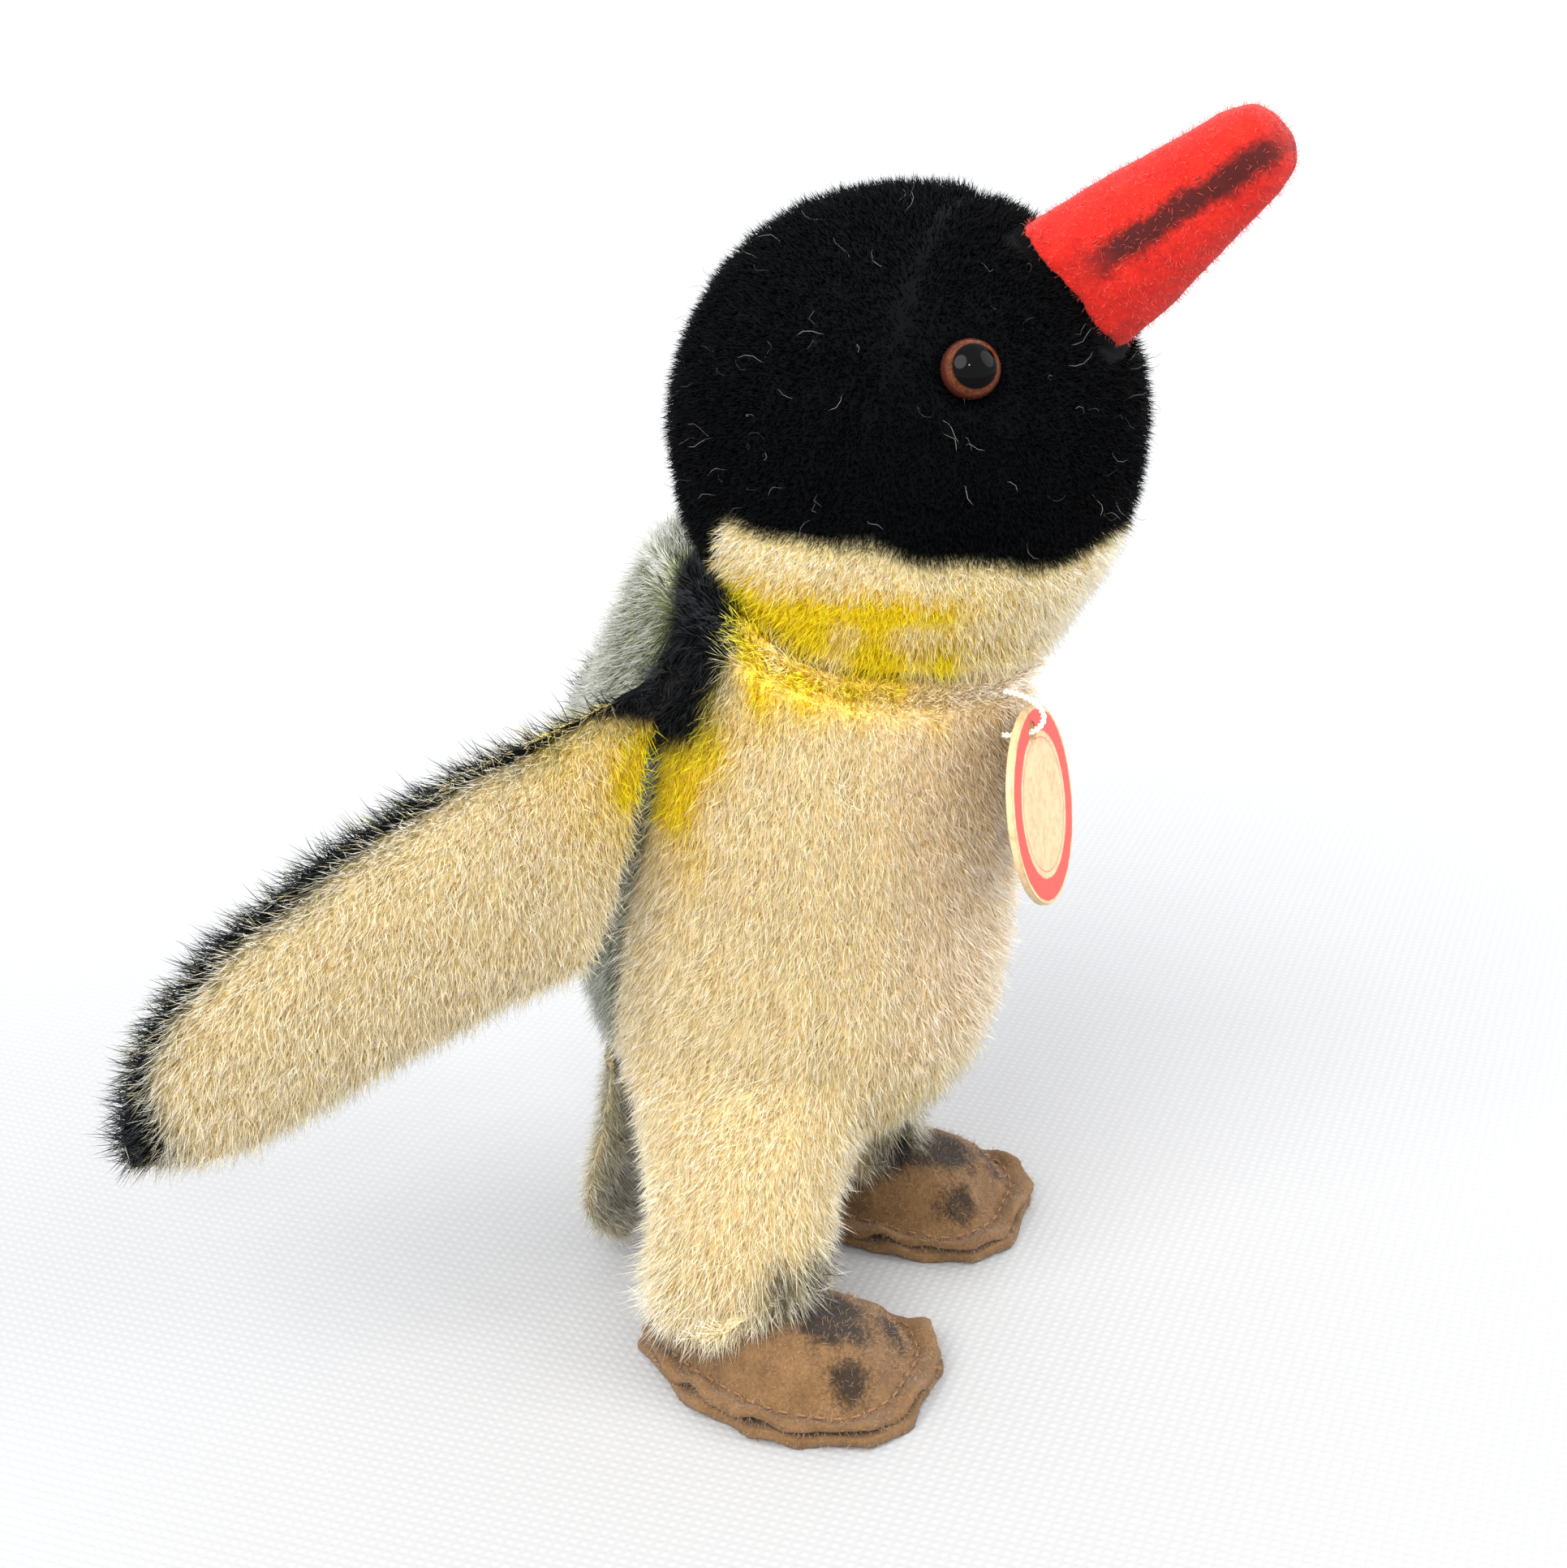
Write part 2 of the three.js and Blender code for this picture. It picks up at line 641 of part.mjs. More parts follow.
// The beak's base is cut to the round of the cloth, with the gap that touching pieces keep.
const headRoom = headSolid(beakSeat - gap, gap / 2);
const beakShell = beakSolid(0).subtract(beakSolid(felt)).subtract(headRoom);
const beakHalf = geometryOf(beakShell.intersect(rightOf(gap / 2)));
add('beak_half_right', beakHalf, looks.red(), headGroup);
add('beak_half_left', mirrored(beakHalf), looks.red(), headGroup);
add('beak_stuffing', geometryOf(beakSolid(felt + gap).subtract(headRoom)), looks.stuffing(), headGroup);

for (const [name, geometry, look] of [
  ['eye_glass', eyeGlass(0), looks.glass],
  ['eye_shank', eyeShank(0), looks.steel],
]) {
  add(`${name}_right`, geometry, look(), headGroup);
  add(`${name}_left`, mirrored(geometry), look(), headGroup);
}

// ---------------------------------------------------------------- wings

// Hinge line of the right root: along the side seam, just off the cover.
const hingeAlong = vec(0, -Math.sin(deg(rootLean)), Math.cos(deg(rootLean)));
const rootSize = torsoAt(wingRootHeight);
const rootWidth = rootSize.x * Math.sqrt(1 - (wingRootBack / rootSize.z) ** 2);
const hingePoint = vec(-rootWidth - rootStandOff, wingRootBack, wingRootHeight);

// Wing frame: out along the wing, up across it, and through its thickness.
const wingOut = vec(
  -Math.sin(deg(wingSpread)) * Math.cos(deg(wingDroop)),
  Math.cos(deg(wingSpread)) * Math.cos(deg(wingDroop)),
  -Math.sin(deg(wingDroop)),
);
const wingThrough = wingOut.clone().cross(hingeAlong).normalize();
const wingUp = wingThrough.clone().cross(wingOut);
const wingFrame = new THREE.Matrix4()
  .makeBasis(wingOut, wingUp, wingThrough)
  .setPosition(hingePoint);

// Ends of the root seam in the wing's own plane, then its leading and trailing edges.
const rootSlant = new THREE.Vector2(hingeAlong.dot(wingOut), hingeAlong.dot(wingUp));
const rootTop = rootSlant.clone().multiplyScalar(wingRoot / 2 + wingShoulder);
const rootBottom = rootSlant.clone().multiplyScalar(-wingRoot / 2);
const share = (out, up) => new THREE.Vector2(out * wingLength, up * wingLength);
const leadingEdge = new THREE.SplineCurve([
  rootTop,
  share(0.04, 0.235),
  share(0.28, 0.265),
  share(0.58, 0.25),
  share(0.82, 0.175),
  share(0.97, 0.03),
]);
const trailingEdge = new THREE.SplineCurve([
  rootBottom,
  share(0.24, -0.232),
  share(0.45, -0.185),
  share(0.68, -0.178),
  share(0.87, -0.15),
  share(1.0, -0.06),
]);
const wingRibs = [0, 0.06, 0.12, 0.2, 0.34, 0.5, 0.66, 0.78, 0.86, 0.95, 1];

// Half thickness: flat cloth at the root, full soon after it, and thin again to the tip.
function wingHalfThickness(along) {
  const swell = Math.sin(Math.PI * Math.min(1, along * 0.86 + 0.12)) ** 0.6;
  const full = (wingThickness / 2) * Math.max(swell, 0.28);
  return THREE.MathUtils.lerp(rootRadius, full, THREE.MathUtils.smoothstep(along, 0, 0.2));
}

const thinnest = 0.3; // half thickness at which the stuffing and its hollow end

function wingSolid(inset) {
  const thick = (along) => wingHalfThickness(along) - inset;
  const ribs = wingRibs.filter((along) => thick(along) > thinnest);
  const rings = ribs.map((along) => {
    const high = leadingEdge.getPoint(along);
    const low = trailingEdge.getPoint(along);
    const middle = high.clone().add(low).multiplyScalar(0.5);
    const chord = high.sub(low);
    const half = chord.length() / 2 - inset;
    const across = vec(chord.x, chord.y, 0).normalize();
    return oval(vec(middle.x, middle.y, 0), across, Z, half, thick(along), thick(along), 16);
  });
  return solid(moved(loft(rings), wingFrame));
}

// Under half and upper half of the cover, parted along the wing's edge.
const wingShell = wingSolid(0).subtract(wingSolid(bodyPile * 0.85));
const upperSide = wingFrame.clone();
const underSide = wingFrame.clone().multiply(new THREE.Matrix4().makeRotationX(Math.PI));
const wingPieces = {
  wing_outer: [wingShell.intersect(above(upperSide, gap / 2)), looks.grey],
  wing_inner: [wingShell.intersect(above(underSide, gap / 2)), looks.cream],
  wing_stuffing: [wingSolid(bodyPile * 0.85 + gap), looks.stuffing],
};
for (const [name, [piece, look]] of Object.entries(wingPieces)) {
  add(`${name}_right`, geometryOf(piece), look());
  add(`${name}_left`, mirrored(geometryOf(piece)), look());
}

// ---------------------------------------------------------------- tail

// A flat leaf that hangs from the foot of the back panel almost to the floor.
const tailLine = new THREE.CatmullRomCurve3([
  vec(0, 0.72 * torsoBack, tailRootHeight),
  vec(0, 0.78 * torsoBack, 0.6 * tailRootHeight),
  vec(0, 0.87 * torsoBack, 0.26 * tailRootHeight),
  vec(0, 0.79 * torsoBack, tailGround + 0.6),
]);
const tailWidths = [0.72, 0.9, 1, 1, 0.92, 0.74, 0.42];

function tailSolid() {
  const rings = tailWidths.map((width, i) => {
    const along = i / (tailWidths.length - 1);
    const middle = tailLine.getPoint(along);
    const thick = (tailThickness / 2) * (along < 0.9 ? 1 - 0.35 * along : 0.5);
    return oval(middle, X, Y, width * tailHalfWidth, thick, thick, 18);
  });
  return solid(loft(rings));
}

// Cut by the body with a gap, and split through its thickness into two cloths.
const bodyRoom = torsoSolid(-gap);
const tail = tailSolid().subtract(bodyRoom);

function tailFront(shift) {
  const side = new THREE.Shape();
  const spine = tailLine.getPoints(12);
  side.moveTo(-far, spine[0].z + 9);
  side.lineTo(spine[0].y + shift, spine[0].z + 9);
  spine.forEach((p) => side.lineTo(p.y + shift, p.z));
  side.lineTo(spine.at(-1).y + shift, -far);
  side.lineTo(-far, -far);
  side.closePath();
  return solid(sideways(side, far));
}
add('tail_outer', geometryOf(tail.subtract(tailFront(gap / 2))), looks.grey());
add('tail_inner', geometryOf(tail.intersect(tailFront(-gap / 2))), looks.grey());

// ---------------------------------------------------------------- chest tag

// The thread is a loop that stands out from the chest, and the card hangs on it by its hole,
// clear of the chest where that is fullest.
const hangTurn = deg(-50); // where on its loop the thread carries the card
const chest = torsoAt(tagHeight);
const chestAtTag = -chest.y * Math.sqrt(1 - (tagSide / chest.x) ** 2);
const threadRoot = chestAtTag - gap - threadRadius;
const cardPlane = -torsoFront - gap - tagThickness / 2 - tagHoleInset * Math.sin(deg(tagLean));
const loopReach = Math.max(threadLoop, (threadRoot - cardPlane) / Math.cos(hangTurn));
const threadArc = new THREE.CatmullRomCurve3(
  [90, 60, 30, 0, -30, -60, -90].map((turn) => {
    const out = loopReach * Math.cos(deg(turn));
    return vec(-tagSide, threadRoot - out, tagHeight + threadLoop * Math.sin(deg(turn)));
  }),
);
const thread = new THREE.Shape().absarc(0, 0, threadRadius, 0, 2 * Math.PI);
const threadSettings = { steps: 9, extrudePath: threadArc, bevelEnabled: false, curveSegments: 3 };
add('tag_thread', new THREE.ExtrudeGeometry(thread, threadSettings), looks.thread());

const tagHole = threadArc.getPoint(0.5 - hangTurn / Math.PI);
const tagGroup = new THREE.Group();
tagGroup.position.copy(tagHole);
tagGroup.rotation.x = Math.PI / 2 - deg(tagLean);
penguin.add(tagGroup);

const card = new THREE.Shape().absarc(0, tagHoleInset - tagRadius, tagRadius, 0, 2 * Math.PI);
card.holes.push(new THREE.Path().absarc(0, 0, tagHoleRadius, 0, 2 * Math.PI));
const cardSettings = { depth: tagThickness, bevelEnabled: false, curveSegments: 14 };
const tagCard = new THREE.ExtrudeGeometry(card, cardSettings).translate(0, 0, -tagThickness / 2);
add('tag_card', tagCard, looks.tag(), tagGroup);

// ---------------------------------------------------------------- origin

// The origin is under the middle of the whole penguin, on the floor.
penguin.updateMatrixWorld(true);
const box = new THREE.Box3().setFromObject(penguin, true);
const centre = box.getCenter(vec(0, 0, 0));
penguin.position.set(-centre.x, -centre.y, -box.min.z);

export default penguin;
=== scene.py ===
# %% [markdown]
# # A plush penguin with a turning head
#
# The real toy is mohair cloth sewn over firm stuffing, with felt feet, a felt beak and glass
# eyes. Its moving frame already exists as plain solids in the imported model, in metres, with
# +Z up and the penguin facing -Y. This lesson dresses that frame: a smooth cover over each
# stuffed part, real strands of pile on the covers, felt with its fuzz, glass and paper.

# %% Load the frame
import json
import math

import bmesh
import bpy
import numpy as np
from mathutils import Matrix, Vector


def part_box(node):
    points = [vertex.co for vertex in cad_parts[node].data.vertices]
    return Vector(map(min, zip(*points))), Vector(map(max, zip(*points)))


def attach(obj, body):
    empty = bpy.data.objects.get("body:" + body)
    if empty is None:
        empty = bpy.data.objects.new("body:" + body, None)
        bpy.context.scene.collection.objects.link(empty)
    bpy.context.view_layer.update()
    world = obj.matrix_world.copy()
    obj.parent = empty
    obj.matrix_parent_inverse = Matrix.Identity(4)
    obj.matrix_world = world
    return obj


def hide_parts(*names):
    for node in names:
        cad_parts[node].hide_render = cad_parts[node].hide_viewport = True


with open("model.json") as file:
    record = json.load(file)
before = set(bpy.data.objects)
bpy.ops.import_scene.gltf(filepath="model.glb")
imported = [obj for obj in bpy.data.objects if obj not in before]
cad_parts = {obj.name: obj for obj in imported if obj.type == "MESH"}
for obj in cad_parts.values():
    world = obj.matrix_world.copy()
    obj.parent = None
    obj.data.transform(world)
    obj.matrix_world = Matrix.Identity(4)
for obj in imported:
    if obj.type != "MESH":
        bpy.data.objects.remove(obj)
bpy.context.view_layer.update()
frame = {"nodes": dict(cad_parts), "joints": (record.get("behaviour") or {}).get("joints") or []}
MM = 0.001

# %% [markdown]
# ## Camera, floor and light
#
# A small toy is seen from a little above, so the floor fills the view, and one wide plane is
# enough for it. The light is a bright room: an even pale sky, a broad window on the penguin's
# right and a weaker one at its front. Both are far enough away to light the floor as evenly
# as the toy. A third, narrow lamp leaves the glint in the eye. Colours are shown without a film
# curve, so the dyes below show as they are given.

# %% Camera
def looking_from(turn, rise, away, target):
    """A camera place: turn degrees round from the front, rise degrees up."""
    t, r = math.radians(turn), math.radians(rise)
    ray = Vector((math.sin(t) * math.cos(r), -math.cos(t) * math.cos(r), math.sin(r)))
    return Vector(target) + ray * away, (-ray).to_track_quat("-Z", "Y")


camera = bpy.data.objects.new("camera", bpy.data.cameras.new("camera"))
bpy.context.scene.collection.objects.link(camera)
place, turned = looking_from(-70, 22, 0.300, (-0.0007, -0.0013, 0.0635))
camera.matrix_world = Matrix.Translation(place) @ turned.to_matrix().to_4x4()
camera.data.lens = 62.1
camera.data.clip_start = 0.01
bpy.context.scene.camera = camera
bpy.context.scene.view_settings.view_transform = "Standard"
print("camera at", [round(v, 3) for v in place])

# %% Light
def daylight(name, turn, rise, strength, spread, tint=(1, 1, 1)):
    """Even light from one side of the room; spread is how wide its source looks, in degrees."""
    lamp = bpy.data.lights.new(name, "SUN")
    lamp.energy, lamp.angle, lamp.color = strength, math.radians(spread), tint
    holder = bpy.data.objects.new(name, lamp)
    bpy.context.scene.collection.objects.link(holder)
    spot, aim = looking_from(turn, rise, 1.0, (0, 0, 0.07))
    holder.matrix_world = Matrix.Translation(spot) @ aim.to_matrix().to_4x4()
    return holder


sky = bpy.data.worlds.new("room")
sky.use_nodes = True
sky.node_tree.nodes["Background"].inputs["Color"].default_value = (0.95, 0.97, 1.0, 1)
sky.node_tree.nodes["Background"].inputs["Strength"].default_value = 2.05
bpy.context.scene.world = sky
daylight("window", -98, 42, 3.8, 40, (1.0, 0.985, 0.95))
daylight("far_window", 10, 35, 1.55, 40)
daylight("glint", -62, 34, 0.35, 4)
print("lamps:", len(bpy.data.lights))


# %% [markdown]
# ## A small language for finishes
#
# A finish is a shader built from nodes. Maths reads best as maths, so one small class wraps a
# node's output and turns +, -, * and / into Math nodes. Every other node comes from one
# method that names its type, its settings and what goes into its sockets.

# %% Shader maths as expressions
class Wire:
    """A number on its way through a finish."""

    def __init__(self, recipe, socket):
        self.recipe, self.socket = recipe, socket

    def _maths(self, operation, *values):
        return self.recipe.node("ShaderNodeMath", {"operation": operation}, dict(enumerate(values)))

    def __add__(self, other):
        return self._maths("ADD", self, other)

    def __sub__(self, other):
        return self._maths("SUBTRACT", self, other)

    def __rsub__(self, other):
        return self._maths("SUBTRACT", other, self)

    def __mul__(self, other):
        return self._maths("MULTIPLY", self, other)

    def __truediv__(self, other):
        return self._maths("DIVIDE", self, other)

    def __abs__(self):
        return self._maths("ABSOLUTE", self)

    def between(self, low, high):
        """0 below low, 1 above high, and a soft step between."""
        return self.recipe.node(
            "ShaderNodeMapRange",
            {"interpolation_type": "SMOOTHSTEP"},
            {"Value": self, "From Min": low, "From Max": high},
        )

    __radd__, __rmul__ = __add__, __mul__


def dye(red, green, blue):
    """A colour as it looks, 0 to 255, as the linear numbers that light is worked out in."""
    parts = [v / 255 for v in (red, green, blue)]
    linear = [v / 12.92 if v <= 0.04045 else ((v + 0.055) / 1.055) ** 2.4 for v in parts]
    return (*linear, 1.0)


# %% A recipe for one finish
class Recipe:
    """One material: its node tree, and the Principled shader that everything ends in."""

    def __init__(self, name, **even):
        self.look = bpy.data.materials.new(name)
        self.look.use_nodes = True
        self.tree = self.look.node_tree
        self.shader = self.tree.nodes["Principled BSDF"]
        for socket, value in even.items():
            self.shader.inputs[socket.replace("_", " ")].default_value = value

    def node(self, kind, settings=None, sockets=None, output=0):
        made = self.tree.nodes.new(kind)
        for key, value in (settings or {}).items():
            setattr(made, key, value)
        for key, value in (sockets or {}).items():
            if isinstance(value, Wire):
                self.tree.links.new(value.socket, made.inputs[key])
            else:
                made.inputs[key].default_value = value
        return Wire(self, made.outputs[output])

    def place(self):
        return self.node("ShaderNodeTexCoord", output="Object")

    def kept(self, name, output="Fac"):
        return self.node("ShaderNodeAttribute", {"attribute_name": name}, output=output)

    def grain(self, size_mm, detail=3.0, roughness=0.6, stretch=None, where=None):
        """Noise whose lumps are about size_mm across."""
        spot = where or self.place()
        if stretch:
            spot = self.node("ShaderNodeVectorMath", {"operation": "MULTIPLY"}, {0: spot, 1: stretch})
        sizes = {"Vector": spot, "Scale": 1 / (size_mm * MM), "Detail": detail, "Roughness": roughness}
        return self.node("ShaderNodeTexNoise", None, sizes)

    def mix(self, share, first, second, blend="MIX"):
        settings = {"data_type": "RGBA", "blend_type": blend}
        return self.node("ShaderNodeMix", settings, {0: share, 6: first, 7: second}, 2)

    def distance(self, point):
        spot = {0: self.place(), 1: point}
        return self.node("ShaderNodeVectorMath", {"operation": "DISTANCE"}, spot, "Value")

    def along(self, direction):
        spot = {0: self.place(), 1: direction}
        return self.node("ShaderNodeVectorMath", {"operation": "DOT_PRODUCT"}, spot, "Value")

    def into(self, socket, wire):
        self.tree.links.new(wire.socket, self.shader.inputs[socket])

    def bump(self, height, depth_mm, strength=1.0):
        sockets = {"Height": height, "Distance": depth_mm * MM, "Strength": strength}
        self.into("Normal", self.node("ShaderNodeBump", None, sockets, "Normal"))


# %% [markdown]
# ### The floor
#
# A white table cloth: nearly flat, with a faint weave that only shows close by. The weave is
# two sets of waves at right angles, used as bump and as a trace of shade.

# %% Floor
def table_cloth():
    cloth = Recipe("table_cloth", Roughness=0.85)
    threads = [cloth.node(
        "ShaderNodeTexWave", {"bands_direction": way}, {"Vector": cloth.place(), "Scale": 260.0}
    ) for way in "XY"]
    weave = threads[0] * threads[1]
    cloth.into("Base Color", cloth.mix(weave, dye(152, 152, 153), dye(158, 158, 158)))
    cloth.bump(weave + cloth.grain(6) * 0.6, 0.12, 0.5)
    return cloth.look


flat = bpy.data.meshes.new("floor")
flat.from_pydata([(-4, -4, 0), (4, -4, 0), (4, 4, 0), (-4, 4, 0)], [], [(0, 1, 2, 3)])
floor = bpy.data.objects.new("floor", flat)
bpy.context.scene.collection.objects.link(floor)
flat.materials.append(table_cloth())
print("floor: 8 m square")

# %% [markdown]
# ## Covers from the frame's solids
#
# Each stuffed part of the frame is a few faceted solids with a small gap at every seam. A
# sewn cover is one skin, so the solids are copied, swollen until their seams close, remeshed
# into even small faces, and smoothed. The skin is then drawn in by the depth of the pile,
# which leaves the bare backing cloth for the strands to grow from. Remeshing suits soft
# things because it makes evenly spread points, which can be puffed, creased or dyed by place.

# %% Mesh helpers
def shown(name, mesh):
    piece = bpy.data.objects.new(name, mesh)
    bpy.context.scene.collection.objects.link(piece)
    return piece


def settled(piece):
    """The piece with its modifiers worked into its mesh."""
    bpy.context.view_layer.update()
    seen = piece.evaluated_get(bpy.context.evaluated_depsgraph_get())
    mesh = bpy.data.meshes.new_from_object(seen, depsgraph=bpy.context.evaluated_depsgraph_get())
    piece.modifiers.clear()
    old, piece.data = piece.data, mesh
    bpy.data.meshes.remove(old)
    mesh.name = piece.name
    return piece


def points_of(mesh, kind="co"):
    values = np.zeros(len(mesh.vertices) * 3)
    (mesh.vertices if kind == "co" else mesh.vertex_normals).foreach_get(
        "co" if kind == "co" else "vector", values
    )
    return values.reshape(-1, 3)


def put_points(mesh, points):
    mesh.vertices.foreach_set("co", points.astype(np.float32).ravel())
    mesh.update()


def outer_skin(mesh):
    """Drops what the remesh left inside: only the largest connected skin stays."""
    form = bmesh.new()
    form.from_mesh(mesh)
    waiting, islands = set(form.verts), []
    while waiting:
        edge, island = [waiting.pop()], []
        while edge:
            vert = edge.pop()
            island.append(vert)
            for link in vert.link_edges:
                other = link.other_vert(vert)
                if other in waiting:
                    waiting.remove(other)
                    edge.append(other)
        islands.append(island)
    islands.sort(key=len)
    bmesh.ops.delete(form, geom=[v for island in islands[:-1] for v in island])
    form.to_mesh(mesh)
    form.free()


# %% One skin round several solids
def skin_of(name, nodes, voxel_mm, swell_mm, smooth, draw_in_mm):
    """draw_in_mm is how deep the skin is drawn in: a number, or a function of its points."""
    whole, part = bmesh.new(), bpy.data.meshes.new("part")
    for node in nodes:
        solid = bmesh.new()
        solid.from_mesh(frame["nodes"][node].data)
        bmesh.ops.remove_doubles(solid, verts=solid.verts, dist=1e-6)
        solid.normal_update()
        for vert in solid.verts:
            vert.co += vert.normal * swell_mm * MM
        solid.to_mesh(part)
        solid.free()
        whole.from_mesh(part)
    mesh = bpy.data.meshes.new(name)
    whole.to_mesh(mesh)
    whole.free()
    piece = shown(name, mesh)
    cells = piece.modifiers.new("cells", "REMESH")
    cells.mode, cells.voxel_size, cells.use_smooth_shade = "VOXEL", voxel_mm * MM, True
    settled(piece)
    outer_skin(piece.data)
    ease = piece.modifiers.new("ease", "SMOOTH")
    ease.factor, ease.iterations = 0.5, smooth
    settled(piece)
    at = points_of(piece.data)
    depth = draw_in_mm(at / MM) if callable(draw_in_mm) else np.full(len(at), draw_in_mm)
    put_points(piece.data, at - points_of(piece.data, "normal") * ((depth + swell_mm) * MM)[:, None])
    piece.data.shade_smooth()
    print(f"{name}: {len(piece.data.polygons)} faces")
    return piece


# %% [markdown]
# ## Pile
#
# Mohair pile is thousands of fine curved hairs. Particle hair would not survive as a mesh, so
# each strand is a small closed three-sided spike, and Geometry Nodes scatter it: points are
# strewn over the cover, each takes a direction between the surface's normal and the nap, with
# some scatter of its own and some shared with its neighbours, which gathers the hairs into
# tufts. The cover's own numbers (its dye, nap, length and thickness of growth) travel with
# the points onto the strands.

# %% Strand shapes
def strand(name, bends, steps=2):
    """A unit spike one metre tall: its middle wanders sideways by bends, in root radii."""
    rings, faces, share = [], [], []
    for step in range(steps):
        up = step / steps
        x, y = (np.interp(up, np.linspace(0, 1, len(bends)), [b[k] for b in bends]) for k in (0, 1))
        for turn in (0, 2.0944, 4.18879):
            r = 1 - 0.45 * up
            rings.append((x + r * math.cos(turn), y + r * math.sin(turn), up))
            share.append(up)
        if step:
            low = 3 * (step - 1)
            faces += [(low + a, low + b, low + b + 3, low + a + 3) for a, b in ((0, 1), (1, 2), (2, 0))]
    rings.append((*bends[-1], 1.0))
    share.append(1.0)
    low, tip = 3 * (steps - 1), 3 * steps
    faces += [(low, low + 1, tip), (low + 1, low + 2, tip), (low + 2, low, tip), (2, 1, 0)]
    mesh = bpy.data.meshes.new(name)
    mesh.from_pydata(rings, [], faces)
    mesh.shade_smooth()
    mesh.attributes.new("along", "FLOAT", "POINT").data.foreach_set("value", share)
    return bpy.data.objects.new(name, mesh)


def bundle(name, shapes):
    shelf = bpy.data.collections.new(name)
    for shape in shapes:
        shelf.objects.link(shape)
    return shelf


mohair_shapes = bundle("mohair_shapes", [
    strand(f"mohair_{i}", bends)
    for i, bends in enumerate([
        [(0, 0), (2.5, 0), (7, 1)],
        [(0, 0), (-1, 2), (3, 5)],
        [(0, 0), (1.5, -1), (-1, -3)],
        [(0, 0), (4, 1), (4, 6)],
    ])
])
undercoat_shapes = bundle("undercoat_shapes", [
    strand(f"undercoat_{i}", bends, 1) for i, bends in enumerate([[(0, 0), (2, 0.5)], [(0, 0), (-1, 3)]])
])
lint_shapes = bundle("lint_shapes", [
    strand(f"lint_{i}", bends, 8)
    for i, bends in enumerate([
        [(0, 0), (8, 3), (14, 14), (6, 22), (-6, 20)],
        [(0, 0), (-6, 4), (-9, 14), (3, 20), (14, 12)],
        [(0, 0), (9, -4), (20, 2), (22, 16), (12, 24)],
    ])
])


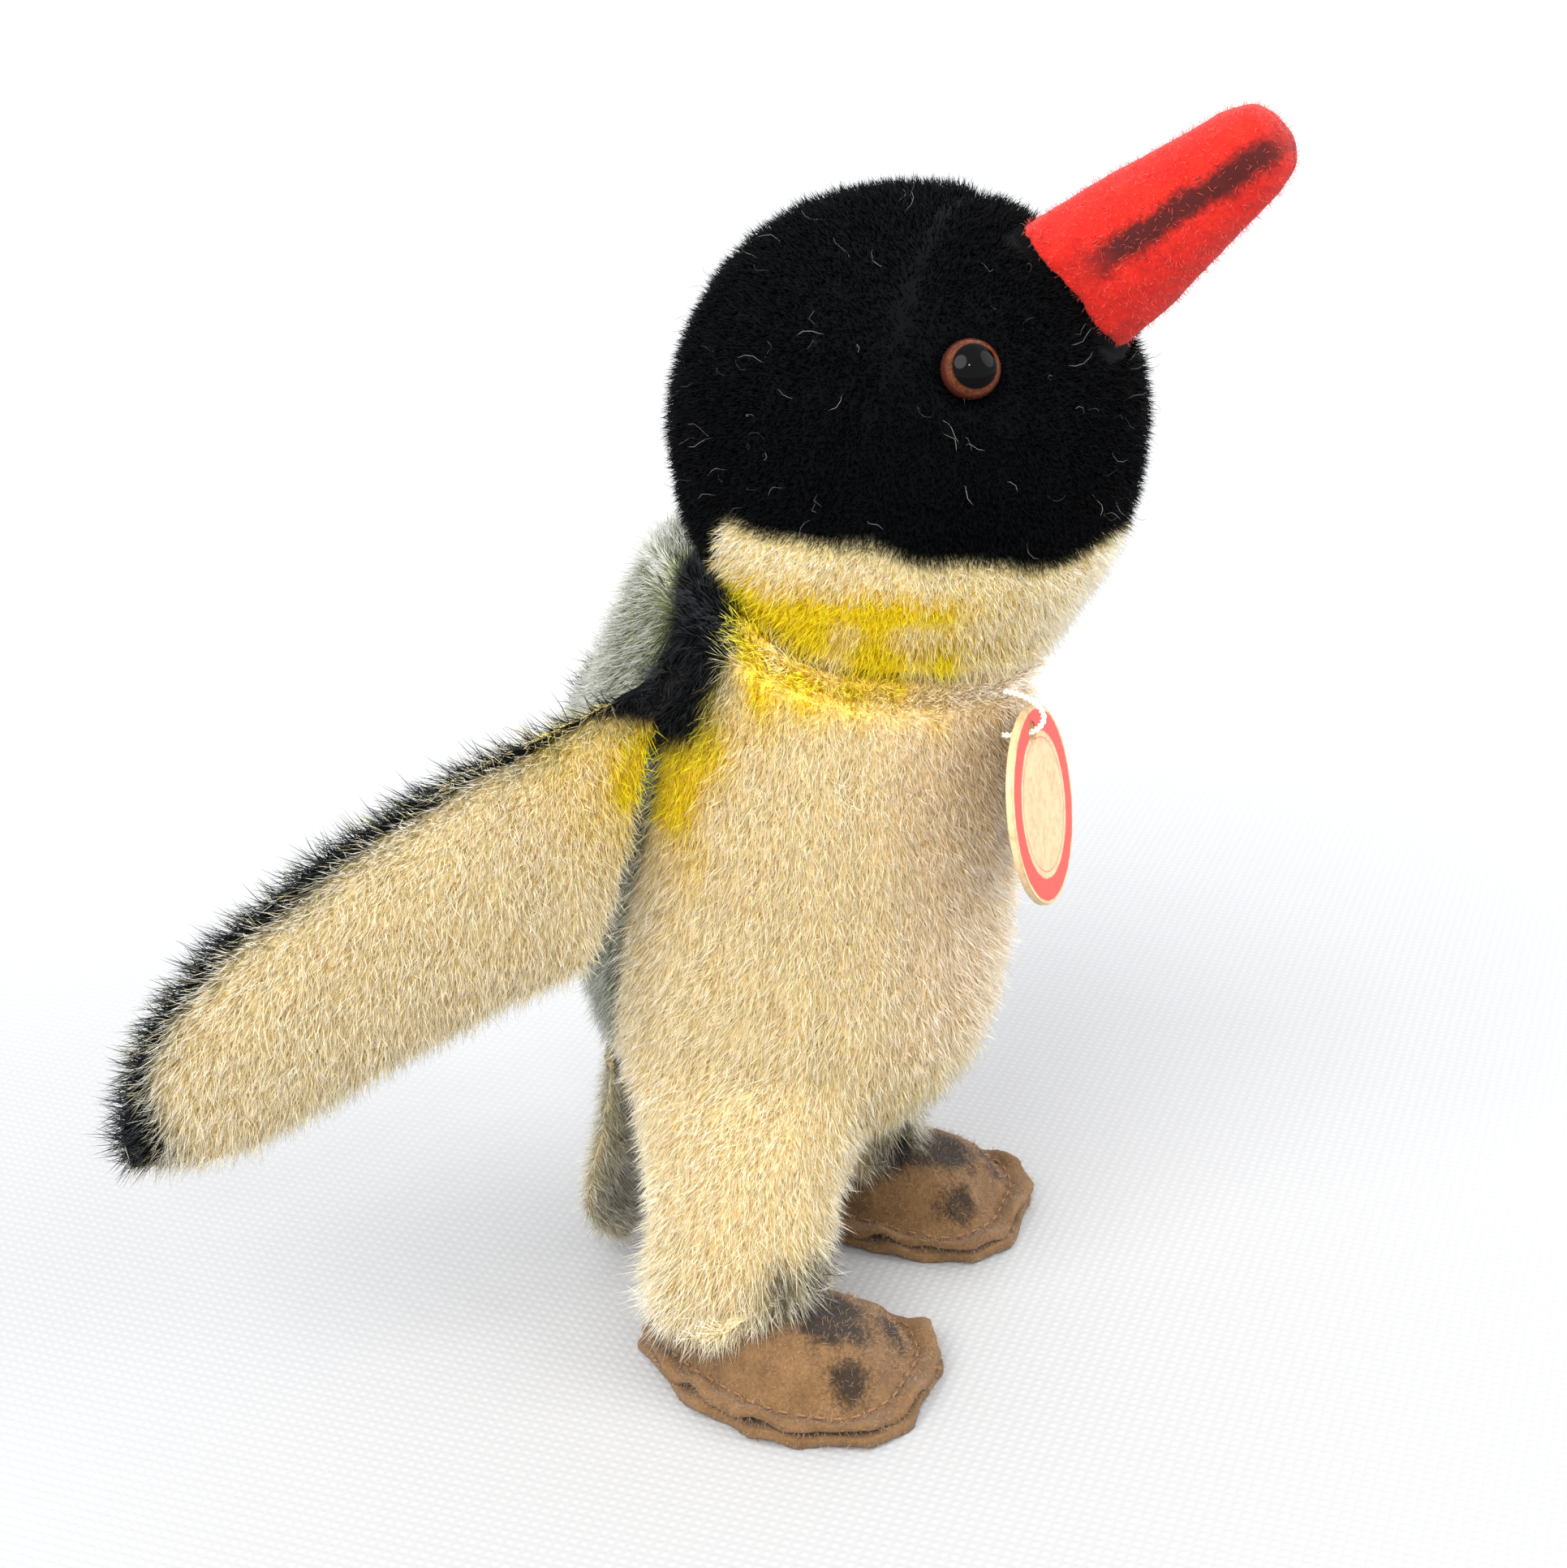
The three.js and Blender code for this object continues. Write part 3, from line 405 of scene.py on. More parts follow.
# %% The scattering tree
def pile_tree():
    tree = bpy.data.node_groups.new("pile", "GeometryNodeTree")
    face = tree.interface
    face.new_socket("Geometry", in_out="INPUT", socket_type="NodeSocketGeometry")
    for label, kind in (
        ("Density", "Float"), ("Length", "Float"), ("Width", "Float"), ("Lean", "Float"),
        ("Scatter", "Float"), ("Tuft", "Float"), ("Seed", "Int"),
        ("Shapes", "Collection"), ("Finish", "Material"),
    ):
        face.new_socket(label, in_out="INPUT", socket_type=f"NodeSocket{kind}")
    face.new_socket("Geometry", in_out="OUTPUT", socket_type="NodeSocketGeometry")

    def node(kind, settings=None, links=None):
        made = tree.nodes.new(kind)
        for key, value in (settings or {}).items():
            setattr(made, key, value)
        for key, value in (links or {}).items():
            if isinstance(value, bpy.types.NodeSocket):
                tree.links.new(value, made.inputs[key])
            else:
                made.inputs[key].default_value = value
        return made

    def vector(operation, first, second=None, scale=None):
        made = node("ShaderNodeVectorMath", {"operation": operation})
        for key, value in ((0, first), (1, second), ("Scale", scale)):
            if value is None:
                continue
            if isinstance(value, bpy.types.NodeSocket):
                tree.links.new(value, made.inputs[key])
            else:
                made.inputs[key].default_value = value
        return made.outputs[0]

    def number(operation, first, second):
        return node("ShaderNodeMath", {"operation": operation}, {0: first, 1: second}).outputs[0]

    def own(name, kind):
        read = node("GeometryNodeInputNamedAttribute", {"data_type": kind}, {"Name": name})
        return read.outputs["Attribute"]

    given = node("NodeGroupInput").outputs
    growth = number("MULTIPLY", given["Density"], own("thick", "FLOAT"))
    strewn = node("GeometryNodeDistributePointsOnFaces", {"distribute_method": "RANDOM"},
                  {"Mesh": given["Geometry"], "Density": growth, "Seed": given["Seed"]})
    lift = vector("SCALE", strewn.outputs["Normal"], scale=number("SUBTRACT", 1.0, given["Lean"]))
    nap = vector("SCALE", own("nap", "FLOAT_VECTOR"), scale=given["Lean"])
    wild = node("FunctionNodeRandomValue", {"data_type": "FLOAT_VECTOR"},
                {0: (-1, -1, -1), 1: (1, 1, 1), "Seed": number("ADD", given["Seed"], 3)})
    stray = vector("SCALE", wild.outputs[0], scale=given["Scatter"])
    clumps = node("ShaderNodeTexNoise", None, {"Scale": 420.0, "Detail": 2.0, "Roughness": 0.55})
    lean = vector("SUBTRACT", clumps.outputs["Color"], (0.5, 0.5, 0.5))
    tuft = vector("SCALE", lean, scale=given["Tuft"])
    heading = vector("ADD", vector("ADD", lift, nap), vector("ADD", stray, tuft))
    aimed = node("FunctionNodeAlignRotationToVector", {"axis": "Z"}, {"Vector": vector("NORMALIZE", heading)})
    spin = node("FunctionNodeRandomValue", {"data_type": "FLOAT"},
                {2: 0.0, 3: 6.2832, "Seed": number("ADD", given["Seed"], 5)})
    about = node("FunctionNodeAxisAngleToRotation", None, {"Axis": (0, 0, 1), "Angle": spin.outputs[1]})
    turned = node("FunctionNodeRotateRotation", {"rotation_space": "LOCAL"},
                  {"Rotation": aimed.outputs[0], "Rotate By": about.outputs[0]})
    tall = node("FunctionNodeRandomValue", {"data_type": "FLOAT"},
                {2: 0.62, 3: 1.12, "Seed": number("ADD", given["Seed"], 7)})
    length = number("MULTIPLY", number("MULTIPLY", given["Length"], own("long", "FLOAT")), tall.outputs[1])
    girth = number("MULTIPLY", given["Width"], 0.5)
    size = node("ShaderNodeCombineXYZ", None, {"X": girth, "Y": girth, "Z": length})
    shelf = node("GeometryNodeCollectionInfo", {"transform_space": "ORIGINAL"},
                 {"Collection": given["Shapes"], "Separate Children": True, "Reset Children": True})
    kept = node("GeometryNodeStoreNamedAttribute", {"data_type": "FLOAT", "domain": "POINT"},
                {"Geometry": strewn.outputs["Points"], "Name": "luck", "Value": tall.outputs[1]})
    planted = node("GeometryNodeInstanceOnPoints", None, {
        "Points": kept.outputs[0], "Instance": shelf.outputs[0], "Pick Instance": True,
        "Rotation": turned.outputs[0], "Scale": size.outputs[0],
    })
    real = node("GeometryNodeRealizeInstances", None, {"Geometry": planted.outputs[0]})
    coloured = node("GeometryNodeSetMaterial", None,
                    {"Geometry": real.outputs[0], "Material": given["Finish"]})
    tree.links.new(coloured.outputs[0], node("NodeGroupOutput").inputs[0])
    return tree


scatter = pile_tree()
sockets = {item.name: item.identifier for item in scatter.interface.items_tree if item.in_out == "INPUT"}
print("pile tree inputs:", [name for name in sockets if name != "Geometry"])


# %% [markdown]
# A strand needs a place of its own on the texture sheet if its colours are ever baked, so each
# one gets a small cell of a square grid, root at the bottom and tip at the top.

# %% Planting pile on part of a cover
def cells_for(mesh, per_strand, steps):
    count = len(mesh.vertices) // per_strand
    grid = math.ceil(math.sqrt(count))
    which = np.arange(len(mesh.vertices)) // per_strand
    local = np.arange(len(mesh.vertices)) % per_strand
    across = np.where(local == per_strand - 1, 0.5, np.take((0.2, 0.5, 0.8), local % 3))
    up = np.where(local == per_strand - 1, 0.85, 0.15 + 0.7 * (local // 3) / steps)
    uv = np.stack([(which % grid + across) / grid, (which // grid + up) / grid], 1)
    corner = np.zeros(len(mesh.loops), np.int32)
    mesh.loops.foreach_get("vertex_index", corner)
    sheet = mesh.uv_layers.new(name="OFBake")
    sheet.data.foreach_set("uv", uv[corner].astype(np.float32).ravel())
    return count


def plant(name, ground, finish, density, length_mm, width_mm, lean, scattered, tuft, seed,
          shapes=None, steps=2):
    """Strands over the mesh ground, density to the square millimetre."""
    piece = shown(name, ground.copy())
    values = {
        "Density": density / MM**2, "Length": length_mm * MM, "Width": width_mm * MM, "Lean": lean,
        "Scatter": scattered, "Tuft": tuft, "Seed": seed, "Shapes": shapes or mohair_shapes, "Finish": finish,
    }
    grow = piece.modifiers.new("pile", "NODES")
    grow.node_group = scatter
    for label, value in values.items():
        grow[sockets[label]] = value
    settled(piece)
    count = cells_for(piece.data, 3 * steps + 1, steps)
    triangles = count * (6 * steps - 2)
    print(f"{name}: {count} strands, {triangles} triangles")
    return piece


def coat(name, ground, finish, body_name, length_mm, lean, seed, fullness=1.0):
    """Two layers, as on real mohair: fine straight hairs below, longer curved ones over them."""
    layers = (
        ("undercoat", 7.6, length_mm * 0.82, 0.11, 0.30, 0.9, undercoat_shapes, 1),
        ("pile", 2.35, length_mm, 0.125, 0.36, 1.15, mohair_shapes, 2),
    )
    for layer, density, length, width, scattered, tuft, shapes, steps in layers:
        hairs = plant(f"{name}_{layer}", ground.copy(), finish, density * fullness, length, width, lean,
                      scattered, tuft, seed, shapes, steps)
        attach(hairs, body_name)
        seed += 1


def part_of(mesh, wanted, name):
    """The faces of a cover whose points are wanted, as a mesh of their own with its numbers."""
    form = bmesh.new()
    form.from_mesh(mesh)
    form.verts.ensure_lookup_table()
    gone = [f for f in form.faces if not wanted[f.verts[0].index]]
    bmesh.ops.delete(form, geom=gone, context="FACES")
    part = bpy.data.meshes.new(name)
    form.to_mesh(part)
    form.free()
    return part


def write_numbers(mesh, colours, nap, long, thick):
    mesh.attributes.new("dye", "FLOAT_COLOR", "POINT").data.foreach_set(
        "color", np.concatenate([colours, np.ones((len(colours), 1))], 1).astype(np.float32).ravel())
    mesh.attributes.new("nap", "FLOAT_VECTOR", "POINT").data.foreach_set(
        "vector", nap.astype(np.float32).ravel())
    for key, values in (("long", long), ("thick", thick)):
        mesh.attributes.new(key, "FLOAT", "POINT").data.foreach_set("value", values.astype(np.float32))


# %% [markdown]
# ### Mohair finishes
#
# One finish serves every colour of pile, because the colour comes from the dye that each
# strand took from the cover. Roots get a painted shade, darker and warmer, pale tips get a
# painted highlight, and every strand differs a little. The backing cloth under it has the same
# dye on a tan weave.

# %% Pile and backing
def pile_finish(name, tip_highlight, root_shade, shine, gloss, glow):
    pile = Recipe(name, Roughness=shine, Specular_IOR_Level=gloss, Subsurface_Weight=glow,
                  Subsurface_Scale=0.0015, Subsurface_Radius=(1.0, 0.9, 0.75))
    colour = pile.kept("dye", "Color")
    along, luck = pile.kept("along"), pile.kept("luck")
    # Painted shade: each strand is darkened and warmed towards its root by root_shade.
    painted_root_shade = pile.mix(along.between(0.0, 0.75), root_shade, (1, 1, 1, 1))
    shaded = pile.mix(1.0, colour, painted_root_shade, "MULTIPLY")
    blueness = pile.node("ShaderNodeSeparateColor", None, {"Color": colour}, "Blue")
    # Painted highlight: strands of pale dyes are lightened towards their tips.
    tip_highlight_share = along.between(0.45, 1.0) * blueness.between(0.1, 0.5) * tip_highlight
    highlighted = pile.mix(tip_highlight_share, shaded, dye(255, 246, 218))
    varied = pile.mix((luck - 0.62) * 0.55, highlighted, pile.mix(1.0, highlighted, dye(236, 218, 186), "MULTIPLY"))
    patch = pile.grain(7, 2)
    pile.into("Base Color", pile.mix(patch.between(0.45, 0.75) * 0.3, varied, pile.mix(
        1.0, varied, dye(232, 206, 166), "MULTIPLY")))
    return pile.look


def backing_finish(name, tan_share):
    cloth = Recipe(name, Roughness=0.95, Specular_IOR_Level=0.1)
    threads = cloth.grain(0.35, 4, 0.7)
    woven = cloth.mix(threads, dye(150, 116, 74), dye(226, 196, 146))
    brushed = cloth.kept("dye", "Color")
    undyed = cloth.node("ShaderNodeSeparateColor", None, {"Color": brushed}, "Red").between(0.03, 0.4)
    cloth.into("Base Color", cloth.mix(undyed * tan_share, brushed, woven))
    cloth.bump(threads + cloth.grain(1.5) * 0.6, 0.35)
    return cloth.look


light_pile = pile_finish("mohair_pile", 0.45, dye(255, 246, 226), 0.55, 0.25, 0.8)
black_pile = pile_finish("black_mohair_pile", 0.0, dye(150, 150, 160), 0.5, 0.05, 0.0)
cloth_look = backing_finish("mohair_backing", 0.45)
dark_cloth_look = backing_finish("black_mohair_backing", 0.02)

CREAM, PALE, YELLOW = (np.array(dye(*c)[:3]) for c in ((255, 238, 178), (255, 230, 184), (255, 222, 6)))
MOSS, INK, OLIVE = (np.array(dye(*c)[:3]) for c in ((110, 119, 86), (4, 5, 7), (196, 190, 156)))


def soft(values, low, high):
    t = np.clip((values - low) / (high - low), 0, 1)
    return t * t * (3 - 2 * t)


def dyed(base, *layers):
    """Colours over a cover: each layer is a dye and how much of it each point took."""
    colours = np.tile(base, (len(layers[0][1]), 1)) if base.ndim == 1 else base
    for colour, share in layers:
        share = np.clip(share, 0, 1)[:, None]
        colours = colours * (1 - share) + colour * share
    return colours


def ragged(at, size, amount, seed=0):
    """A soft wandering number for each place, for edges that are brushed on by hand."""
    waves = np.random.default_rng(seed).normal(size=(5, 3)) / size
    shift = np.arange(5) * 1.7 + seed
    return amount * np.sin(at @ waves.T + shift).mean(1) * 2


def middle_of(node):
    low_corner, high_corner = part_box(node)
    return np.array((low_corner + high_corner) / 2)


def combed(normals, way):
    """A direction laid flat on the surface."""
    flat_way = way - normals * (normals * way).sum(1)[:, None]
    return flat_way / np.maximum(np.linalg.norm(flat_way, axis=1), 1e-6)[:, None]


# %% [markdown]
# ## The body
#
# Side panels with the legs, a back panel and a belly gusset, all one sewn skin round firm
# stuffing. Below the neck it is cream with a pale chest; the back is grey-green. Yellow was
# brushed on under the neck, at the wing roots and inside the legs, and black along the seam
# from the nape to the wings and on the fronts of the ankles.

# %% Body cover
BODY_NODES = ["side_panel_right", "side_panel_left", "back_panel", "belly_panel", "body_stuffing"]
BALL_RISE = 0.023  # from the neck joint up to the middle of the round head
swivel = next(j for j in frame["joints"] if j["name"] == "head_swivel")
neck, neck_axis = np.array(swivel["pos_m"]), np.array(swivel["axis"])
ball = neck + neck_axis * BALL_RISE


def body_depth(spots):
    """The pile's depth, but little near the head, where the shoulders end in a thin edge."""
    return 1.7 - 1.6 * soft(-np.linalg.norm(spots - ball / MM, axis=1), -31.5, -28.8)


body = skin_of("body_cover", BODY_NODES, 0.9, 0.28, 12, body_depth)
at = points_of(body.data) / MM
facing = points_of(body.data, "normal")
side = np.abs(at[:, 0])
seam = 6.6 - 0.25 * (at[:, 2] - 68)
behind = at[:, 1] - seam + ragged(at, 4, 0.7)
low = at[:, 2]
wisps = ragged(at, 2.2, 0.35, 3)
is_back = soft(behind, -0.4, 0.8) * soft(low, 19, 23)
stripe = np.exp(-(((behind - 0.2) / 3.9) ** 2)) * soft(low, 70 + 3 * wisps, 77 + 3 * wisps)
under_neck = soft(low, 74, 81) * soft(at[:, 1], -27, -18) * soft(-at[:, 1], -2, 5)
wing_root = np.exp(-(((behind + 2.5) / 4.6) ** 2)) * soft(low, 56, 66) * soft(-low, -84, -75)
inner_leg = np.exp(-(((side - 8.5) / 2.6) ** 2)) * soft(-low, -40, -26) * soft(-at[:, 1], 0, 8)
ankle = soft(-at[:, 1], 4.5, 9) * soft(-low, -17.5, -13)
chest = soft(-at[:, 1], 14, 24) * soft(low, 30, 46)
body_dye = dyed(
    CREAM, (PALE, 0.8 * chest), (YELLOW, under_neck + wisps * (under_neck > 0.05)),
    (YELLOW, wing_root + 1.3 * wisps * (wing_root > 0.05)), (YELLOW, 0.6 * inner_leg), (MOSS, is_back),
    (INK, stripe * 2.3), (INK, 0.9 * ankle + wisps * (ankle > 0.1)),
)
rim = soft(-np.linalg.norm(at - ball / MM, axis=1), -33.0, -30.5)
way = np.tile([0, 0.1, -1.0], (len(at), 1)) + ragged(at, 9, 0.4, 5)[:, None]
way[:, 2] += 2.2 * rim
way[:, :2] += at[:, :2] / 20 * soft(-low, -13, -9)[:, None]
downwards = combed(facing, way)
cuff = soft(-low, -20, -12)
crease = np.exp(-((np.abs(behind) / 0.5) ** 2)) * (side > 6)
hidden = soft(low, 81, 84) * (np.hypot(at[:, 0], at[:, 1] + 12.7) < 14)
long = 1 + 0.55 * cuff + 0.1 * wisps
write_numbers(body.data, body_dye, downwards, long, (1 - 0.5 * crease) * (1 - hidden))
body.data.materials.append(cloth_look)
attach(body, "body")
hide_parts(*BODY_NODES)

# %% Body pile, panel by panel
waist = 33 + ragged(at, 7, 5, 12)
PANELS = {
    "side_panel_right": (at[:, 0] < 0) & (is_back < 0.5) & (low > waist),
    "side_panel_left": (at[:, 0] >= 0) & (is_back < 0.5) & (low > waist),
    "back_panel": is_back >= 0.5,
    "leg_right": (at[:, 0] < 0) & (is_back < 0.5) & (low <= waist),
    "leg_left": (at[:, 0] >= 0) & (is_back < 0.5) & (low <= waist),
}
for seed, (name, wanted) in enumerate(PANELS.items()):
    slot_name = "mohair_grey" if name == "back_panel" else "mohair_cream"
    coat(name, part_of(body.data, wanted, name), light_pile, "body", 3.2, 0.52, 11 + 2 * seed)

# %% [markdown]
# ## The head
#
# A ball that narrows to the neck, in shorter and denser pile: black above, a cream band
# below it, brushed with yellow at the sides. A seam crosses the crown, where the pile parts.

# %% Head cover
HEAD_NODES = ["head_panel_right", "head_panel_left", "head_stuffing"]
head = skin_of("head_cover", HEAD_NODES, 0.8, 0.25, 12, 1.25)
at = points_of(head.data) / MM
facing = points_of(head.data, "normal")
edge = 96.0 + 3.0 * soft(at[:, 1], -36, -10) - 18 * soft(at[:, 1], -3, 7) + ragged(at, 3, 0.6, 8)
black = soft(at[:, 2] - edge, -1.0, 1.1)
band_yellow = soft(-at[:, 2], -97, -90.5) * soft(at[:, 1], -37, -17)
head_dye = dyed(CREAM, (YELLOW, 1.15 * band_yellow + ragged(at, 2, 0.5, 4) * band_yellow), (INK, black))
parting = at[:, 1] + 19.5 + ragged(at, 6, 0.5, 2)
on_crown = soft(at[:, 2], 114, 122)
fall = np.tile([0.0, 0.25, -0.6], (len(at), 1))
fall[:, 1] += np.sign(parting) * 3.4 * np.exp(-((parting / 3) ** 2)) * on_crown
bare = np.exp(-((parting / 0.9) ** 2)) * on_crown
beak_middle = middle_of("beak_half_right") * np.array([0, 1, 1])
pointing = (beak_middle - ball) / np.linalg.norm(beak_middle - ball)
rising = np.array([0.0, -pointing[2], pointing[1]]) * np.sign(pointing[1])
from_ball = at - ball / MM
under_beak = (np.abs(from_ball @ rising) < 8.4) & (np.abs(at[:, 0]) < 5.3) & (from_ball @ pointing > 0)
eye_spots = [middle_of(f"eye_glass_{hand}") / MM for hand in ("right", "left")]
under_eye = np.min([np.linalg.norm(at - eye, axis=1) for eye in eye_spots], axis=0) < 2.7
from_neck = at - neck / MM
up_neck = from_neck @ neck_axis
inside_joint = (up_neck < 2.0) & (np.linalg.norm(from_neck - np.outer(up_neck, neck_axis), axis=1) < 15.5)
hanging = soft(-up_neck, -6.5, -2.5)
growth = (1 - 0.85 * bare) * ~(under_beak | under_eye | inside_joint)
long = 1 + 0.12 * ragged(at, 3, 1, 6) + 0.25 * (1 - black) + 0.6 * hanging
write_numbers(head.data, head_dye, combed(facing, fall), long, growth)
head.data.materials.append(dark_cloth_look)
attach(head, "head")
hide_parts(*HEAD_NODES)

# %% Head pile and lint
NEEDS = {
    "head_panel_right": (at[:, 0] < 0) & (black >= 0.5),
    "head_panel_left": (at[:, 0] >= 0) & (black >= 0.5),
    "head_band": black < 0.5,
}
for seed, (name, wanted) in enumerate(NEEDS.items()):
    banded = name == "head_band"
    coat(name, part_of(head.data, wanted, name), light_pile if banded else black_pile, "head",
         1.9, 0.26, 31 + 2 * seed, 1.15)


def lint_finish():
    lint = Recipe("grey_lint", Roughness=0.8)
    paleness = lint.kept("luck").between(0.6, 1.1)
    lint.into("Base Color", lint.mix(paleness, dye(44, 46, 52), dye(112, 110, 106)))
    return lint.look


ground = part_of(head.data, (black >= 0.9) & (np.abs(parting) > 2), "head_lint")
lint = plant("head_lint", ground, lint_finish(), 0.045, 2.6, 0.07, 0.1, 0.7, 0.6, 47, lint_shapes, 8)
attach(lint, "head")

# %% [markdown]
# ## The wings
#
# Two cloths sewn together and lightly stuffed: cream on the side that faces forward,
# grey-green behind, with a dark fringe along the upper edge where the pile is longest. Each
# wing rides on its own body and swings at its sewn root. The wing's own directions come from
# its solid: along it, up across it, and through its thickness.

# %% Wing covers and pile
def own_axes(node):
    """Middle of a node, and its directions from the longest to the shortest."""
    spots = points_of(frame["nodes"][node].data)
    middle = (spots.min(0) + spots.max(0)) / 2
    return middle, np.linalg.svd(spots - spots.mean(0), full_matrices=False)[2]


def make_wing(hand, seed):
    nodes = [f"wing_{part}_{hand}" for part in ("outer", "inner", "stuffing")]
    cover = skin_of(f"wing_cover_{hand}", nodes, 0.75, 0.25, 10, 1.35)
    middle, (out, up, through) = own_axes(nodes[2])
    out = out * np.sign(out[1])
    up = up * np.sign(up[2])
    through = through * np.sign(through @ (middle_of(nodes[0]) - middle_of(nodes[1])))
    at = points_of(cover.data) / MM
    facing = points_of(cover.data, "normal")
    along = (at - middle / MM) @ out
    along = (along - along.min()) / np.ptp(along)
    depth = (at - middle / MM) @ through + ragged(at, 5, 0.35, seed)
    upper_edge = soft(facing @ up + 0.7 * soft(along, 0.86, 0.98), 0.05, 0.6)
    fringe = np.exp(-(((depth + 0.4) / 1.75) ** 2)) * upper_edge * (1 + ragged(at, 1.6, 0.12, seed + 1))
    behind = depth - 3.5 * soft(-along, -0.05, -0.01)
    low = at[:, 2]
    root = soft(-along, -0.3, -0.1) * soft(-behind, -0.6, 0.4) * soft(low, 56, 65) * soft(-low, -83, -76)
    corner = soft(-along, -0.16, -0.06) * soft(low, 75, 80)
    colours = dyed(
        CREAM, (YELLOW, root * (1 + ragged(at, 2.2, 0.5, seed))), (MOSS, soft(behind, -0.3, 0.8)),
        (INK, 1.5 * fringe + 1.4 * corner),
    )
    way = np.tile(out * 0.8 + np.array([0, 0, -0.5]), (len(at), 1)) + upper_edge[:, None] * up * 1.4
    write_numbers(cover.data, colours, combed(facing, way), 1 + 0.3 * fringe, np.ones(len(at)))
    cover.data.materials.append(cloth_look)
    body_name = f"wing_{hand}"
    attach(cover, body_name)
    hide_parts(*nodes)
    for side_name, wanted in (("outer", depth >= 0), ("inner", depth < 0)):
        name = f"wing_{side_name}_{hand}"
        slot_name = "mohair_cream" if side_name == "inner" else "mohair_grey"
        coat(name, part_of(cover.data, wanted, name), light_pile, body_name, 3.1, 0.45, seed)
        seed += 2


make_wing("right", 51)
make_wing("left", 61)

# %% [markdown]
# ## The tail
#
# Two cloths again, hanging flat from the back panel, olive grey with a dark spot low down.

# %% Tail
tail = skin_of("tail_cover", ["tail_outer", "tail_inner"], 0.6, 0.25, 6, 0.9)
at = points_of(tail.data) / MM
facing = points_of(tail.data, "normal")
spot = np.exp(-(((at[:, 2] - 9) / 5.5) ** 2) - (np.abs(at[:, 0]) / 7.5) ** 2) + ragged(at, 3, 0.25, 9)
tail_dye = dyed(OLIVE, (MOSS, 0.5 * soft(at[:, 2], 12, 26)), (INK, 0.8 * np.clip(spot, 0, 1)))
write_numbers(tail.data, tail_dye, combed(facing, np.tile([0, 0, -1.0], (len(at), 1))),
              np.ones(len(at)), np.ones(len(at)))
tail.data.materials.append(cloth_look)
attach(tail, "body")
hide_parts("tail_outer", "tail_inner")
coat("tail", tail.data, light_pile, "body", 2.6, 0.45, 71)

# %% [markdown]
# ## Felt
#
# Felt has no weave: it is short matted wool, so its finish is several sizes of soft noise in
# colour and bump, and its edge is fuzzy. The fuzz is planted like the pile, but sparse, fine
# and in every direction. Airbrushed marks are round patches about points on the piece.

# %% Felt finishes
def felt_finish(name, dark, light, marks=(), mark_dye=None, stripe=None):
    wool = Recipe(name, Roughness=0.96, Sheen_Weight=0.08, Sheen_Roughness=0.5, Specular_IOR_Level=0.2)
    fibres = wool.grain(0.45, 5, 0.75)
    lumps = wool.grain(2.6, 2)
    colour = wool.mix((fibres * 0.65 + lumps * 0.35).between(0.3, 0.7), dark, light)
    edge = (fibres - 0.5) * 0.9 + (lumps - 0.5) * 0.8
    for point, radius_mm, strength in marks:
        near = wool.distance(point) / (radius_mm * MM) + edge
        colour = wool.mix((1 - near).between(-0.15, 0.45) * strength, colour, mark_dye)
    if stripe:
        colour = stripe(wool, colour, edge)
    wool.into("Base Color", colour)
    wool.bump(fibres * 0.7 + lumps * 0.6, 0.32, 0.9)
    return wool.look


def fuzz_finish(name, colour):
    hair = Recipe(name, Roughness=0.8)
    hair.into("Base Color", hair.mix(hair.kept("along"), colour, hair.mix(0.2, colour, dye(255, 240, 220))))
    return hair.look


def lumpy(piece, size_mm, depth_mm, seed):
    """Pushes a felt piece in and out a little, so that no face stays dead flat."""
    at = points_of(piece.data)
    push = ragged(at / MM, size_mm, depth_mm, seed) + ragged(at / MM, size_mm / 3, depth_mm / 2, seed + 1)
    put_points(piece.data, at + points_of(piece.data, "normal") * push[:, None] * MM)


def plain_numbers(piece, long=None, thick=None):
    count = len(piece.data.vertices)
    ones = np.ones(count)
    write_numbers(piece.data, np.ones((count, 3)), np.zeros((count, 3)), ones if long is None else long,
                  ones if thick is None else thick)


# %% [markdown]
# ### Stitches
#
# A row of hand stitches follows a path, so it suits Geometry Nodes: the path is cut into even
# steps, and each step carries one short thread turned to the path's direction.

